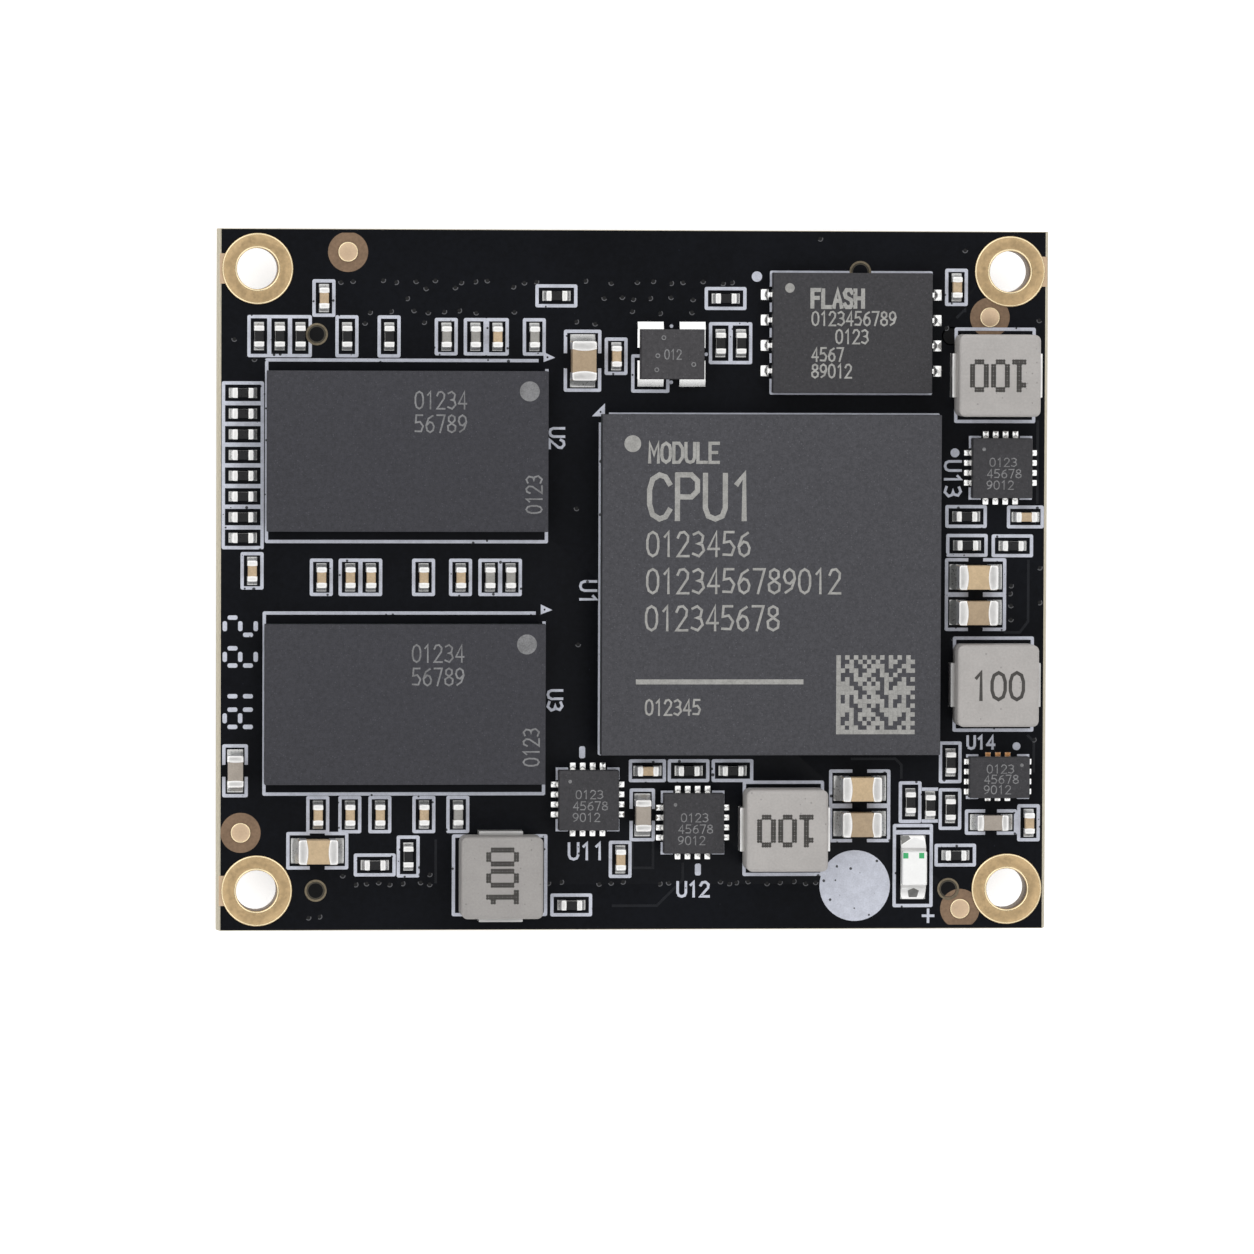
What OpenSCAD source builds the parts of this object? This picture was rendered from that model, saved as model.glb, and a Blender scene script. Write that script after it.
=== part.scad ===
// System on module: a circuit board with a processor, two memories, a power section and
// two board-to-board connectors underneath.
// Millimetres. Z = 0 is the mating face of the connectors and X runs along the board's long
// side. The centre of the board is at X = 0, Y = 0.

/* [Board] */
// Length of the board along X
board_l = 41.7; // [41.4:0.1:60]
// Width of the board along Y
board_w = 35; // [34.6:0.1:50]
// Thickness of the board
board_t = 1.6; // [1:0.1:2.4]
// Width of the bevel that scoring leaves along the two short edges
score_w = 0.17; // [0.05:0.01:0.2]
// Depth of that bevel, on each face
score_d = 0.5; // [0.2:0.05:0.6]
// Thickness of the copper lands on the board
land_t = 0.06; // [0.04:0.01:0.1]
// Thickness of the printed legend
legend_t = 0.03; // [0.01:0.01:0.035]
// Width of a legend line
legend_line = 0.165; // [0.1:0.005:0.2]
// Diameter of a fiducial dot
fiducial_d = 1; // [0.6:0.1:1.2]

/* [Mounting holes] */
// Distance of each hole from the two nearest edges
hole_inset = 2; // [1.9:0.05:2.2]
// Diameter of the finished hole
hole_d = 2.05; // [1.8:0.05:2.6]
// Wall of the plating in the holes
plating = 0.05; // [0.03:0.01:0.1]
// Diameter of the plated ring round a hole
ring_d = 3.55; // [3:0.05:3.7]

/* [Connectors] */
// Height of a connector, from the board to its mating face
conn_h = 3; // [2:0.1:6]
// Contacts in each row of a connector
conn_n = 60; // [40:1:60]
// Pitch of the contacts
conn_pitch = 0.5; // [0.4:0.05:0.5]
// Width of a connector's housing
conn_w = 3; // [2.6:0.1:3.1]
// Housing past the last contact, at each end
conn_end = 2.05; // [1.9:0.05:2.2]
// Width of the trough in the mating face
trough_w = 1.5; // [1:0.1:1.8]
// Floor of the trough, measured from the board
trough_floor = 0.9; // [0.5:0.1:1.5]
// Distance of the far connector from the board's edge
conn_inset = 5.25; // [4.5:0.05:6]
// Width of a contact
contact_w = 0.2; // [0.15:0.01:0.25]
// Thickness of a contact
contact_t = 0.12; // [0.08:0.01:0.15]
// Reach of a solder tail past the housing
tail_reach = 0.4; // [0.3:0.05:0.45]
// Diameter of a locating peg
peg_d = 0.8; // [0.6:0.05:1]
// Clearance round a locating peg
peg_gap = 0.05; // [0.03:0.01:0.1]
// Diameter of the ring round a locating hole
peg_ring_d = 1.1; // [1.05:0.05:1.4]

/* [Processor] */
// Side of the square package
cpu_w = 17; // [14:0.1:17.6]
// Thickness of the moulding
cpu_mold_t = 0.8; // [0.5:0.05:1.5]
// Thickness of the substrate
cpu_base_t = 0.3; // [0.2:0.05:0.6]
// Stand-off of the package above the board
cpu_stand = 0.4; // [0.3:0.05:0.45]
// Diameter of a solder ball
ball_d = 0.48; // [0.46:0.01:0.6]
// Pitch of the solder balls
ball_pitch = 0.8; // [0.65:0.05:1]

/* [Memories] */
// Length of a memory along X
mem_l = 14; // [12:0.1:14.2]
// Width of a memory along Y
mem_w = 8; // [7.5:0.1:8.4]
// Thickness of the moulding
mem_mold_t = 0.55; // [0.4:0.05:0.8]
// Thickness of the substrate
mem_base_t = 0.25; // [0.15:0.05:0.4]
// Stand-off of the package above the board
mem_stand = 0.35; // [0.25:0.05:0.42]

/* [Flash and oscillator] */
// Length of the flash memory along X
flash_l = 8; // [6:0.1:8.2]
// Width of the flash memory along Y
flash_w = 6; // [5:0.1:6.2]
// Height of the flash memory
flash_h = 0.8; // [0.5:0.05:1]
// Pitch of the flash memory's terminals
flash_pitch = 1.27; // [1:0.01:1.3]
// Length of the oscillator along X
osc_l = 3.2; // [2.5:0.1:3.4]
// Width of the oscillator along Y
osc_w = 2.5; // [2:0.1:2.6]
// Height of the oscillator
osc_h = 0.95; // [0.7:0.05:1.2]

/* [Regulators] */
// Side of a square regulator
reg_w = 3; // [2.8:0.05:3.1]
// Short side of the small regulator
reg_short = 2.05; // [2:0.05:2.2]
// Height of a regulator
reg_h = 0.9; // [0.6:0.05:1.1]
// Pitch of the regulators' terminals
reg_pitch = 0.5; // [0.4:0.01:0.5]

/* [Inductors] */
// Side of an inductor's moulded body
coil_w = 4.1; // [3.6:0.05:4.2]
// Height of an inductor
coil_h = 2; // [1.2:0.1:4]
// Width of an inductor's terminals
coil_term_w = 2.2; // [1.5:0.1:2.6]
// Reach of an inductor's terminals past the body
coil_reach = 0.22; // [0.1:0.02:0.24]

/* [Chips] */
// Large capacitor: length, width and height
cap_large = [2, 1.25, 1.25];
// Middle capacitor: length, width and height
cap_mid = [1.6, 0.8, 0.8];
// Small capacitor: length, width and height
cap_small = [1, 0.5, 0.5];
// Chip resistor: length, width and height
res_size = [1, 0.5, 0.35];
// Wall of a chip's end terminal
term_wall = 0.03; // [0.02:0.01:0.05]
// Spacing of small chips that share a frame
chip_pitch = 1.03; // [1:0.01:1.1]
// Length of the indicator light along Y
lamp_l = 2; // [1.6:0.1:2.2]
// Width of the indicator light along X
lamp_w = 1.25; // [0.8:0.05:1.3]
// Height of the indicator light
lamp_h = 0.85; // [0.6:0.05:1.2]

/* [Hidden] */
$fn = 32;

// Heights of the board's two faces, and of the lands that the parts stand on
under_z = conn_h;
top_z = under_z + board_t;
seat_z = top_z + land_t;

// Edges of the board and of the large packages, which the small parts are placed from
edge_x = board_l / 2;
edge_y = board_w / 2;
cpu_x = 6.77;
cpu_y = -0.18;
cpu_left = cpu_x - cpu_w / 2;
cpu_right = cpu_x + cpu_w / 2;
cpu_front = cpu_y - cpu_w / 2;
cpu_back = cpu_y + cpu_w / 2;
mem_a = [-11.4, 6.45];
mem_b = [-11.5, -6.15];
row_back_gap = 1.7;
row_front_gap = 1.55;
row_cpu_gap = 0.85;
row_back = mem_a.y + mem_w / 2 + row_back_gap;
row_middle = (mem_a.y + mem_b.y) / 2;
row_front = mem_b.y - mem_w / 2 - row_front_gap;
row_cpu = cpu_front - row_cpu_gap;
flash_gap = 1.08;
flash_x = 10.85;
flash_y = cpu_back + flash_gap + flash_w / 2;
osc_gap = 1.74;
osc_x = 1.82;
osc_y = cpu_back + osc_gap + osc_w / 2;

// Reach of solder past the ends of the chips, and length of their end terminals
over_small = 0.2;
over_mid = 0.27;
over_large = 0.32;
band_small = 0.23;
band_mid = 0.33;
band_large = 0.42;
// Thickness of solder at the toe of a fillet
toe = 0.02;
// Thickness of a leadless package's terminals and of the dark coat on a resistor
lead_t = 0.2;
coat_t = 0.02;
coat_l = res_size[0] - 2 * band_small;

// Inductors: place and turn. Regulators and indicator light: place
coil_gap = 0.58;
coil_right = cpu_right + coil_gap + coil_reach + coil_w / 2;
coil_places = [
    [coil_right, 10.3], [coil_right, -5.2], [-6.7, -14.75], [7.55, cpu_front - 3.75]];
coil_turns = [90, 90, 0, 90];
regs = [
    [-2.3, cpu_front - 2.28], [2.98, cpu_front - 3.45],
    [coil_right + 0.3, 5.66], [coil_right + 0.25, -9.85]];
lamp = [14.1, -14.4];

// Rows of small chips: x, y, number side by side, and turn
resistor_rows = [
    [-17.75, row_back, 3, 0], [-14.4, row_back, 1, 0], [-12.3, row_back, 1, 0],
    [4.79, cpu_back + 3.55, 2, 0], [-11.28, -13.8, 1, 0],
    [13.95, cpu_front - 2.45, 1, 0],
    [15.97, cpu_front - 2.8, 1, 0], [cpu_right + 0.7, -9.13, 1, 0],
    [-3.95, 14.2, 1, 90], [4.53, 14.1, 1, 90], [-edge_x + 1.28, 5.72, 8, 90],
    [-12.95, -14.22, 1, 90], [-3.1, -16.25, 1, 90],
    [2.77, row_cpu, 1, 90], [4.98, row_cpu, 1, 90], [cpu_right + 1.43, 3.22, 1, 90],
    [cpu_right + 1.48, 1.77, 1, 90], [cpu_right + 3.78, 1.75, 1, 90], [16.25, -13.8, 1, 90]];
bar_rows = [[14.95, cpu_front - 2.6, 1, 0]];
tan_rows = [
    [-15.55, 14.05, 1, 0], [-6.9, row_back, 1, 0], [-0.95, 11.2, 1, 0],
    [16.15, 14.7, 1, 0], [-19.1, 0.47, 1, 0], [-15.65, row_middle, 1, 0],
    [-13.7, row_middle, 2, 0], [-10.55, row_middle, 1, 0], [-8.7, row_middle, 1, 0],
    [-15.8, row_front, 1, 0], [-14.2, row_front, 1, 0], [-12.7, row_front, 1, 0],
    [-10.5, row_front, 1, 0], [-0.65, -13.97, 1, 0], [19.95, -12.18, 1, 0],
    [0.7, row_cpu, 1, 90], [cpu_right + 4.43, 3.2, 1, 90]];
grey_rows = [
    [-9.45, row_back, 1, 0], [-8, row_back, 1, 0], [-5.05, row_back, 1, 0],
    [-6.72, row_middle, 2, 0], [-8.8, row_front, 1, 0]];
mid_rows = [[-edge_x + 0.92, -9.5, 1, 0], [0.45, -11.74, 1, 0], [18.05, -12.14, 1, 90]];
large_rows = [
    [-2.63, 10.97, 1, 0], [-15.82, -13.5, 1, 90], [11.4, cpu_front - 2.63, 2, 90],
    [cpu_right + 1.93, -0.7, 2, 90]];
large_pitch = 1.78;
resistors = places(concat(resistor_rows, bar_rows), chip_pitch);
tan_caps = places(tan_rows, chip_pitch);
grey_caps = places(grey_rows, chip_pitch);
small_caps = concat(tan_caps, grey_caps);
mid_caps = places(mid_rows, chip_pitch);
large_caps = places(large_rows, large_pitch);

// Connectors: length, places of their centre lines and of their pegs
conn_span = (conn_n - 1) * conn_pitch;
conn_l = conn_span + 2 * conn_end;
conn_ys = [edge_y - conn_inset, -edge_y + hole_inset];
peg_x = conn_span / 2 + 1.15;
peg_hole_d = peg_d + 2 * peg_gap;
nail_w = 0.8;
nail_x = conn_l / 2 - nail_w;
spare_ring = [11.3, edge_y - 2.05];
ring_places = [[-peg_x, conn_ys[0]], [-peg_x, conn_ys[1]], [peg_x, conn_ys[1]], spare_ring];

// Capacitors under the processor
under_n = [5, 4];
under_step = [2.6, 3.2];

// Fiducials: the corner that each belongs to, and its distances from that corner's edges
fiducials = [[-1, 1, 6.5, 1.15], [1, 1, 3, 4.3], [-1, -1, 1.2, 4.9], [1, -1, 4.35, 1]];

// Every chip of a list of rows, as x, y and turn
function places(rows, pitch) = [
    for (row = rows)
        for (i = [0 : row[2] - 1])
            let (shift = (i - (row[2] - 1) / 2) * pitch)
                [row.x + shift * cos(row[3]), row.y + shift * sin(row[3]), row[3]]];

// Box that stands on Z = 0, centred in X and Y
module block(l, w, h) {
    translate([-l / 2, -w / 2, 0])
        cube([l, w, h]);
}

// Rectangle with round corners
module round_rect(l, w, r) {
    square([l - 2 * r, w], center = true);
    square([l, w - 2 * r], center = true);
    for (x = [-1, 1], y = [-1, 1])
        translate([x * (l / 2 - r), y * (w / 2 - r)])
            circle(r);
}

// Section with round top corners, standing on the X axis
module round_top(w, h, r) {
    translate([-w / 2, 0])
        square([w, h - r]);
    translate([-w / 2 + r, 0])
        square([w - 2 * r, h]);
    for (x = [-1, 1])
        translate([x * (w / 2 - r), h - r])
            circle(r);
}

// Moulded block with round upright corners and a soft top edge
module soft_block(l, w, h, corner, edge) {
    intersection() {
        linear_extrude(h)
            round_rect(l, w, corner);
        rotate([90, 0, 0])
            linear_extrude(2 * w, center = true)
                round_top(l, h, edge);
        rotate([90, 0, 90])
            linear_extrude(2 * l, center = true)
                round_top(w, h, edge);
    }
}

// Puts a copy of its children at each place on the lands
module at_places(list) {
    for (p = list)
        translate([p.x, p.y, seat_z])
            rotate(p[2])
                children();
}

// The same places on the board's face, for the legend
module on_board(rows) {
    for (row = rows)
        translate([row.x, row.y])
            rotate(row[3])
                children();
}

// Everything below the board, drawn upwards from it and turned over
module underneath() {
    translate([0, 0, under_z])
        mirror([0, 0, 1])
            children();
}

// Two-ended chips lie along Y
module chip_body(size) {
    translate([0, 0, term_wall])
        block(size[1] - 2 * term_wall, size[0] - 2 * term_wall, size[2] - 2 * term_wall);
}

module chip_terminals(size, band) {
    for (s = [-1, 1])
        translate([0, s * (size[0] - band) / 2, 0])
            difference() {
                block(size[1], band, size[2]);
                translate([0, -s * term_wall, term_wall])
                    block(size[1] - 2 * term_wall, band, size[2] - 2 * term_wall);
            }
}

module chip_lands(size, band, over) {
    for (s = [-1, 1])
        translate([0, s * (size[0] / 2 + (over - band) / 2), -land_t])
            block(size[1], band + over, land_t);
}

// Concave solder against an upright face at Y = 0, running out along Y
module fillet(w, over) {
    translate([-w / 2, 0, 0])
        rotate([90, 0, 90])
            linear_extrude(w)
                difference() {
                    square([over, over]);
                    translate([over + toe, over + toe])
                        circle(over);
                }
}

module chip_fillets(size, over) {
    for (turn = [0, 180])
        rotate(turn)
            translate([0, size[0] / 2, 0])
                fillet(size[1], over);
}

// Ball flattened between the board and a substrate
module ball(stand) {
    rotate_extrude()
        intersection() {
            translate([0, stand / 2])
                circle(ball_d / 2);
            square([ball_d, stand]);
        }
}

// Places along one side of a leadless package
function side_steps(n, pitch) = [for (i = [0 : n - 1]) (i - (n - 1) / 2) * pitch];

// Puts its children at each terminal of a leadless package, with Y pointing outwards
module at_leads(l, w, n_x, n_y, pitch) {
    for (turn = [0, 180])
        rotate(turn) {
            for (s = side_steps(n_x, pitch))
                translate([s, w / 2, 0])
                    children();
            for (s = side_steps(n_y, pitch))
                translate([l / 2, s, 0])
                    rotate(-90)
                        children();
        }
}

// Terminals: width, length under the package and reach of the land outside it
lead_w = 0.28;
lead_l = 0.4;
lead_out = 0.34;
small_lead_out = 0.2;
flash_lead_w = 0.54;
flash_lead_l = 0.6;
flash_out = 0.55;
// Bare heat pad under a regulator stays this far from its edges
pad_margin = 0.65;

module lead(w, l, t) {
    translate([-w / 2, -l, 0])
        cube([w, l, t]);
}

module lead_land(w, l, out) {
    translate([-w / 2, -l, -land_t])
        cube([w, l + out, land_t]);
}

function reg_size(i) = i == 3 ? [reg_w, reg_short] : [reg_w, reg_w];
function reg_leads(i) = i == 3 ? [3, 4] : [4, 4];
function reg_out(i) = i == 3 ? small_lead_out : lead_out;

module at_reg(i) {
    translate([regs[i].x, regs[i].y, seat_z])
        children();
}

module reg_terminals(i) {
    size = reg_size(i);
    count = reg_leads(i);
    at_leads(size.x, size.y, count.x, count.y, reg_pitch)
        lead(lead_w, lead_l, lead_t);
    block(size.x - 2 * pad_margin, size.y - 2 * pad_margin, lead_t);
}

module reg_body(i) {
    color("#3e3e40")
        at_reg(i)
            difference() {
                block(reg_size(i).x, reg_size(i).y, reg_h);
                reg_terminals(i);
            }
}

module reg_metal(i) {
    color("#d8d8d4")
        at_reg(i)
            reg_terminals(i);
}

// Inductors lie with their terminals along Y
coil_corner = 0.35;
coil_edge = 0.18;
coil_term_t = 0.15;
coil_term_h = 0.9;
coil_term_in = 1;

module at_coil(i) {
    translate([coil_places[i].x, coil_places[i].y, seat_z])
        rotate(coil_turns[i])
            children();
}

// Bent strip: a foot under the body and a tongue up its end
module coil_strips() {
    for (turn = [0, 180])
        rotate(turn) {
            translate([-coil_term_w / 2, coil_w / 2 - coil_term_in, 0])
                cube([coil_term_w, coil_term_in + coil_reach, coil_term_t]);
            translate([-coil_term_w / 2, coil_w / 2, 0])
                cube([coil_term_w, coil_reach, coil_term_h]);
        }
}

module coil_body(i) {
    color("#aca8a4")
        at_coil(i)
            difference() {
                soft_block(coil_w, coil_w, coil_h, coil_corner, coil_edge);
                coil_strips();
            }
}

module coil_metal(i) {
    color("#dcdcd8")
        at_coil(i)
            coil_strips();
}

// Blank with its short edges bevelled on both faces, where it was scored and snapped off
module board_blank() {
    rotate([90, 0, 0])
        linear_extrude(board_w, center = true)
            difference() {
                translate([-edge_x, 0])
                    square([board_l, board_t]);
                translate([0, board_t / 2])
                    for (x = [0, 1], y = [0, 1])
                        mirror([x, 0])
                            mirror([0, y])
                                translate([edge_x, board_t / 2])
                                    polygon([[0, 0], [-score_w, 0], [0, -score_d]]);
            }
}

module circuit_board() {
    color("#16181c")
        translate([0, 0, under_z])
            difference() {
                board_blank();
                for (x = [-1, 1], y = [-1, 1])
                    translate([x * (edge_x - hole_inset), y * (edge_y - hole_inset), -1])
                        cylinder(h = board_t + 2, d = hole_d + 2 * plating);
                for (x = [-1, 1], y = conn_ys)
                    translate([x * peg_x, y, -1])
                        cylinder(h = board_t + 2, d = peg_hole_d);
            }
}

// Plated barrel with a ring on each face of the board
module mounting_rings() {
    color("#c6a876")
        for (x = [-1, 1], y = [-1, 1])
            translate([x * (edge_x - hole_inset), y * (edge_y - hole_inset), under_z])
                rotate_extrude() {
                    translate([hole_d / 2, -land_t])
                        square([plating, board_t + 2 * land_t]);
                    for (z = [-land_t, board_t])
                        translate([hole_d / 2, z])
                            square([(ring_d - hole_d) / 2, land_t]);
                }
}

module locating_rings() {
    color("#8f8160")
        for (p = ring_places)
            translate([p.x, p.y, top_z])
                difference() {
                    cylinder(h = legend_t, d = peg_ring_d);
                    translate([0, 0, -legend_t])
                        cylinder(h = 3 * legend_t, d = peg_hole_d);
                }
}

module fiducial_dots() {
    color("#cdb087")
        for (f = fiducials)
            translate([f[0] * (edge_x - f[2]), f[1] * (edge_y - f[3]), top_z])
                cylinder(h = land_t, d = fiducial_d);
}

// Legend shapes, drawn flat
frame_w = 1.15;
cap_frame_l = 1.87;
res_frame_l = 2.1;
frame_r = 0.1;
frame_cut = 0.5;
mid_frame = [2.65, 1.28, 0.6];
large_frame = [3.1, 1.88, 0.75];
lamp_frame = [2.03, 4.19];
cpu_frame_gap = 0.07;
mem_frame_gap = [0.07, 0.6];
flash_frame_gap = 0.1;
flash_lead_gap = 0.13;
reg_frame_gap = 0.1;
reg_leg = 0.62;

module chip_frame(l, n, pitch) {
    difference() {
        round_rect(frame_w + (n - 1) * pitch, l, frame_r);
        for (s = side_steps(n, pitch))
            translate([s, 0])
                square([frame_w - 2 * legend_line, l - 2 * legend_line], center = true);
    }
}

// Frame whose long sides are open in the middle
module bracket_frame(frame) {
    difference() {
        round_rect(frame[1], frame[0], frame_r);
        square([frame[1] - 2 * legend_line, frame[0] - 2 * legend_line], center = true);
        square([2 * frame[1], frame[2]], center = true);
    }
}

// Corner lines round a package, with the sides left open
module corner_lines(l, w, leg_x, leg_y) {
    difference() {
        square([l, w], center = true);
        square([l - 2 * legend_line, w - 2 * legend_line], center = true);
        square([l - 2 * leg_x, 2 * w], center = true);
        square([2 * l, w - 2 * leg_y], center = true);
    }
}

module plain_frame(l, w) {
    difference() {
        round_rect(l, w, frame_r);
        square([l - 2 * legend_line, w - 2 * legend_line], center = true);
    }
}

// Frame of the flash memory, broken at its terminals
module flash_frame() {
    difference() {
        plain_frame(flash_l + 2 * flash_frame_gap, flash_w + 2 * flash_frame_gap);
        at_leads(flash_l, flash_w, 0, 4, flash_pitch)
            square([flash_lead_w + 2 * flash_lead_gap, flash_lead_l], center = true);
    }
}

// Frame round the oscillator's first land, and a dot outside three of its sides
osc_frame_gap = 0.31;
osc_dot_d = 0.18;
osc_dot_gap = 0.15;

module osc_marks() {
    translate([osc_x, osc_y]) {
        translate([-osc_land_x, -osc_land_y])
            plain_frame(osc_land + 2 * osc_frame_gap, osc_land + 2 * osc_frame_gap);
        for (p = [[0, 1], [0, -1], [1, 0]])
            pin_mark(osc_dot_d, [p.x * (osc_l / 2 + osc_dot_gap), p.y * (osc_w / 2 + osc_dot_gap)]);
    }
}

module legend_rows(rows, l, pitch) {
    for (row = rows)
        on_board([row])
            chip_frame(l, row[2], pitch);
}

// Bar beside each plain side of an inductor, with short returns at its ends
coil_bar_gap = 0.18;
coil_return = 0.7;

module coil_bars() {
    span = coil_w + 2 * (coil_bar_gap + legend_line);
    difference() {
        plain_frame(span, coil_w);
        square([span - 2 * coil_return, 2 * coil_w], center = true);
    }
}

// Seven-bar digits of the date field, lying on their side
bar_l = 0.5;
bar_w = 0.22;
digit_l = 1.54;
digit_w = 0.86;
digit_step = 1.53;
digits_x = -edge_x + 1.17;
digits_y = -2.29;
// Bars that are printed: three across the digit, then the two on each of its long sides
digit_bars = [[1, 1, 1, 1, 0, 0, 1], [1, 1, 1, 1, 0, 1, 1], [0, 0, 0, 0, 0, 1, 1], [1, 1, 0, 1, 1, 1, 1]];

module date_digit(bars) {
    for (i = [0 : 2])
        if (bars[i] == 1)
            translate([(i - 1) * digit_l / 2, 0])
                round_rect(bar_w, bar_l, frame_r);
    for (i = [0 : 3])
        if (bars[3 + i] == 1)
            translate([(i % 2 - 0.5) * digit_l / 2, (i < 2 ? 1 : -1) * digit_w / 2])
                round_rect(bar_l, bar_w, frame_r);
}

module pin_mark(d, p) {
    translate(p)
        circle(d / 2);
}

// Frame without the corner that a mark stands in, on the side given by its sign along X
module cut_frame(l, w, side) {
    difference() {
        plain_frame(l, w);
        translate([side * l / 2, w / 2])
            square(2 * frame_cut, center = true);
    }
}

// Triangle with a pinhole, beside the first corner of a package
module corner_mark(points) {
    difference() {
        polygon(points);
        translate((points[0] + points[1] + points[2]) / 3)
            circle(mark_hole_d / 2);
    }
}

// Marks that show which way round a package goes
mark_hole_d = 0.1;
cpu_mark = [[0, 0], [0, 0.65], [-0.65, 0]];
cpu_mark_in = [0.23, 0.12];
mem_mark = [[0.33, 0.07], [-0.25, 0.35], [-0.25, -0.15]];
reg_dash = [0.3, 0.6];
reg_dash_x = 0.28;
reg_dash_gap = 0.86;
flash_dot_d = 0.52;
flash_dot = [0.75, 0.2];
reg_dot_d = 0.45;
reg_dot = [0.8, 0.75];
small_dot_d = 0.4;
small_dot = [0.95, 0.5];
disc_d = 3.56;
disc = [11.17, -15.32];

module package_marks() {
    pin_mark(flash_dot_d, [flash_x - flash_l / 2 - flash_dot.x, flash_y + flash_w / 2 - flash_dot.y]);
    pin_mark(reg_dot_d, [regs[2].x - reg_w / 2 - reg_dot.x, regs[2].y + reg_dot.y]);
    pin_mark(small_dot_d, [regs[3].x + small_dot.x, regs[3].y + reg_short / 2 + small_dot.y]);
    for (i = [0, 1])
        translate(regs[i])
            rotate(180 * i)
                translate([-reg_dash_x, reg_w / 2 + reg_dash_gap])
                    round_rect(reg_dash.x, reg_dash.y, frame_r);
    translate([cpu_left + cpu_mark_in.x, cpu_back - cpu_mark_in.y])
        corner_mark(cpu_mark);
    for (m = [mem_a, mem_b])
        translate([m.x + mem_l / 2 + mem_frame_gap.x, m.y + mem_w / 2 + mem_frame_gap.y])
            corner_mark(mem_mark);
    pin_mark(disc_d, disc);
}

// Frame of the indicator light, with a thick bar near its marked end
lamp_frame_y = 0.08;
lamp_bar = 0.22;
lamp_bar_y = 0.42;

module lamp_lines() {
    translate([lamp.x, lamp.y + lamp_frame_y]) {
        plain_frame(lamp_frame.x, lamp_frame.y);
        translate([0, lamp_frame.y / 2 - lamp_bar_y])
            square([lamp_frame.x, lamp_bar], center = true);
    }
}

// Distance of the end bars from the middle of a resistor without side lines
bar_row_reach = 0.8;

module legend_lines() {
    legend_rows(resistor_rows, res_frame_l, chip_pitch);
    legend_rows(tan_rows, cap_frame_l, chip_pitch);
    legend_rows(grey_rows, cap_frame_l, chip_pitch);
    for (row = bar_rows, s = [-1, 1])
        translate([row.x, row.y + s * bar_row_reach])
            square([frame_w - 2 * legend_line, legend_line], center = true);
    for (row = mid_rows)
        on_board([row])
            bracket_frame(mid_frame);
    for (p = large_caps)
        translate([p.x, p.y])
            rotate(p[2])
                bracket_frame(large_frame);
    for (m = [mem_a, mem_b])
        translate(m)
            cut_frame(mem_l + 2 * mem_frame_gap.x, mem_w + 2 * mem_frame_gap.y, 1);
    translate([cpu_x, cpu_y])
        cut_frame(cpu_w + 2 * cpu_frame_gap, cpu_w + 2 * cpu_frame_gap, -1);
    for (i = [0 : 3])
        translate(regs[i])
            corner_lines(reg_size(i).x + 2 * reg_frame_gap, reg_size(i).y + 2 * reg_frame_gap,
                reg_leg, i == 3 ? legend_line : reg_leg);
    for (i = [0 : 3])
        translate(coil_places[i])
            rotate(coil_turns[i])
                coil_bars();
    translate([flash_x, flash_y])
        flash_frame();
    osc_marks();
    for (i = [0 : 3])
        translate([digits_x, digits_y - digit_step * i])
            date_digit(digit_bars[i]);
}

module printed_legend() {
    color("#d7dae4")
        translate([0, 0, top_z])
            linear_extrude(legend_t)
                difference() {
                    union() {
                        legend_lines();
                        lamp_lines();
                        package_marks();
                    }
                    for (p = ring_places)
                        translate(p)
                            circle(peg_ring_d / 2);
                }
}

module processor_moulding() {
    color("#4c4c50")
        translate([cpu_x, cpu_y, top_z + cpu_stand + cpu_base_t])
            block(cpu_w, cpu_w, cpu_mold_t);
}

module processor_substrate() {
    color("#2c3a34")
        translate([cpu_x, cpu_y, top_z + cpu_stand])
            block(cpu_w, cpu_w, cpu_base_t);
}

// Balls keep this far from the edges of a package
ball_margin = 0.9;

function ball_count(w) = floor((w - 2 * ball_margin) / ball_pitch + 0.001) + 1;

module processor_balls() {
    steps = side_steps(ball_count(cpu_w), ball_pitch);
    color("#c8c8c8")
        translate([cpu_x, cpu_y, top_z])
            for (x = steps, y = steps)
                translate([x, y, 0])
                    ball(cpu_stand);
}

module mem_moulding(p) {
    color("#44444a")
        translate([p.x, p.y, top_z + mem_stand + mem_base_t])
            block(mem_l, mem_w, mem_mold_t);
}

module mem_substrate(p) {
    color("#2c3a34")
        translate([p.x, p.y, top_z + mem_stand])
            block(mem_l, mem_w, mem_base_t);
}

// Three columns of balls on each side of a memory's middle line
module mem_balls(p) {
    color("#c8c8c8")
        translate([p.x, p.y, top_z])
            for (x = side_steps(ball_count(mem_l - 0.2), ball_pitch), s = [-1, 1], i = [0 : 2])
                translate([x, s * (mem_w / 2 - ball_margin + 0.1 - i * ball_pitch), 0])
                    ball(mem_stand);
}

module flash_leads() {
    at_leads(flash_l, flash_w, 0, 4, flash_pitch)
        lead(flash_lead_w, flash_lead_l, lead_t);
}

module flash_body() {
    color("#4a484b")
        translate([flash_x, flash_y, seat_z])
            difference() {
                block(flash_l, flash_w, flash_h);
                flash_leads();
            }
}

module flash_terminals() {
    color("#dcdcd8")
        translate([flash_x, flash_y, seat_z])
            flash_leads();
}

// Oscillator: case with a thin cover, on four terminals over large square lands
osc_lead_w = 1.2;
osc_lead_l = 0.85;
osc_lead_t = 0.05;
osc_land = 1.3;
osc_out = [0.1, 0.37];
osc_land_x = osc_l / 2 + osc_out.x - osc_land / 2;
osc_land_y = osc_w / 2 + osc_out.y - osc_land / 2;
osc_case_h = 0.65;
osc_cover_margin = 0.03;
osc_corner = 0.12;
osc_edge = 0.04;

module at_osc() {
    translate([osc_x, osc_y, seat_z])
        children();
}

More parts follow.
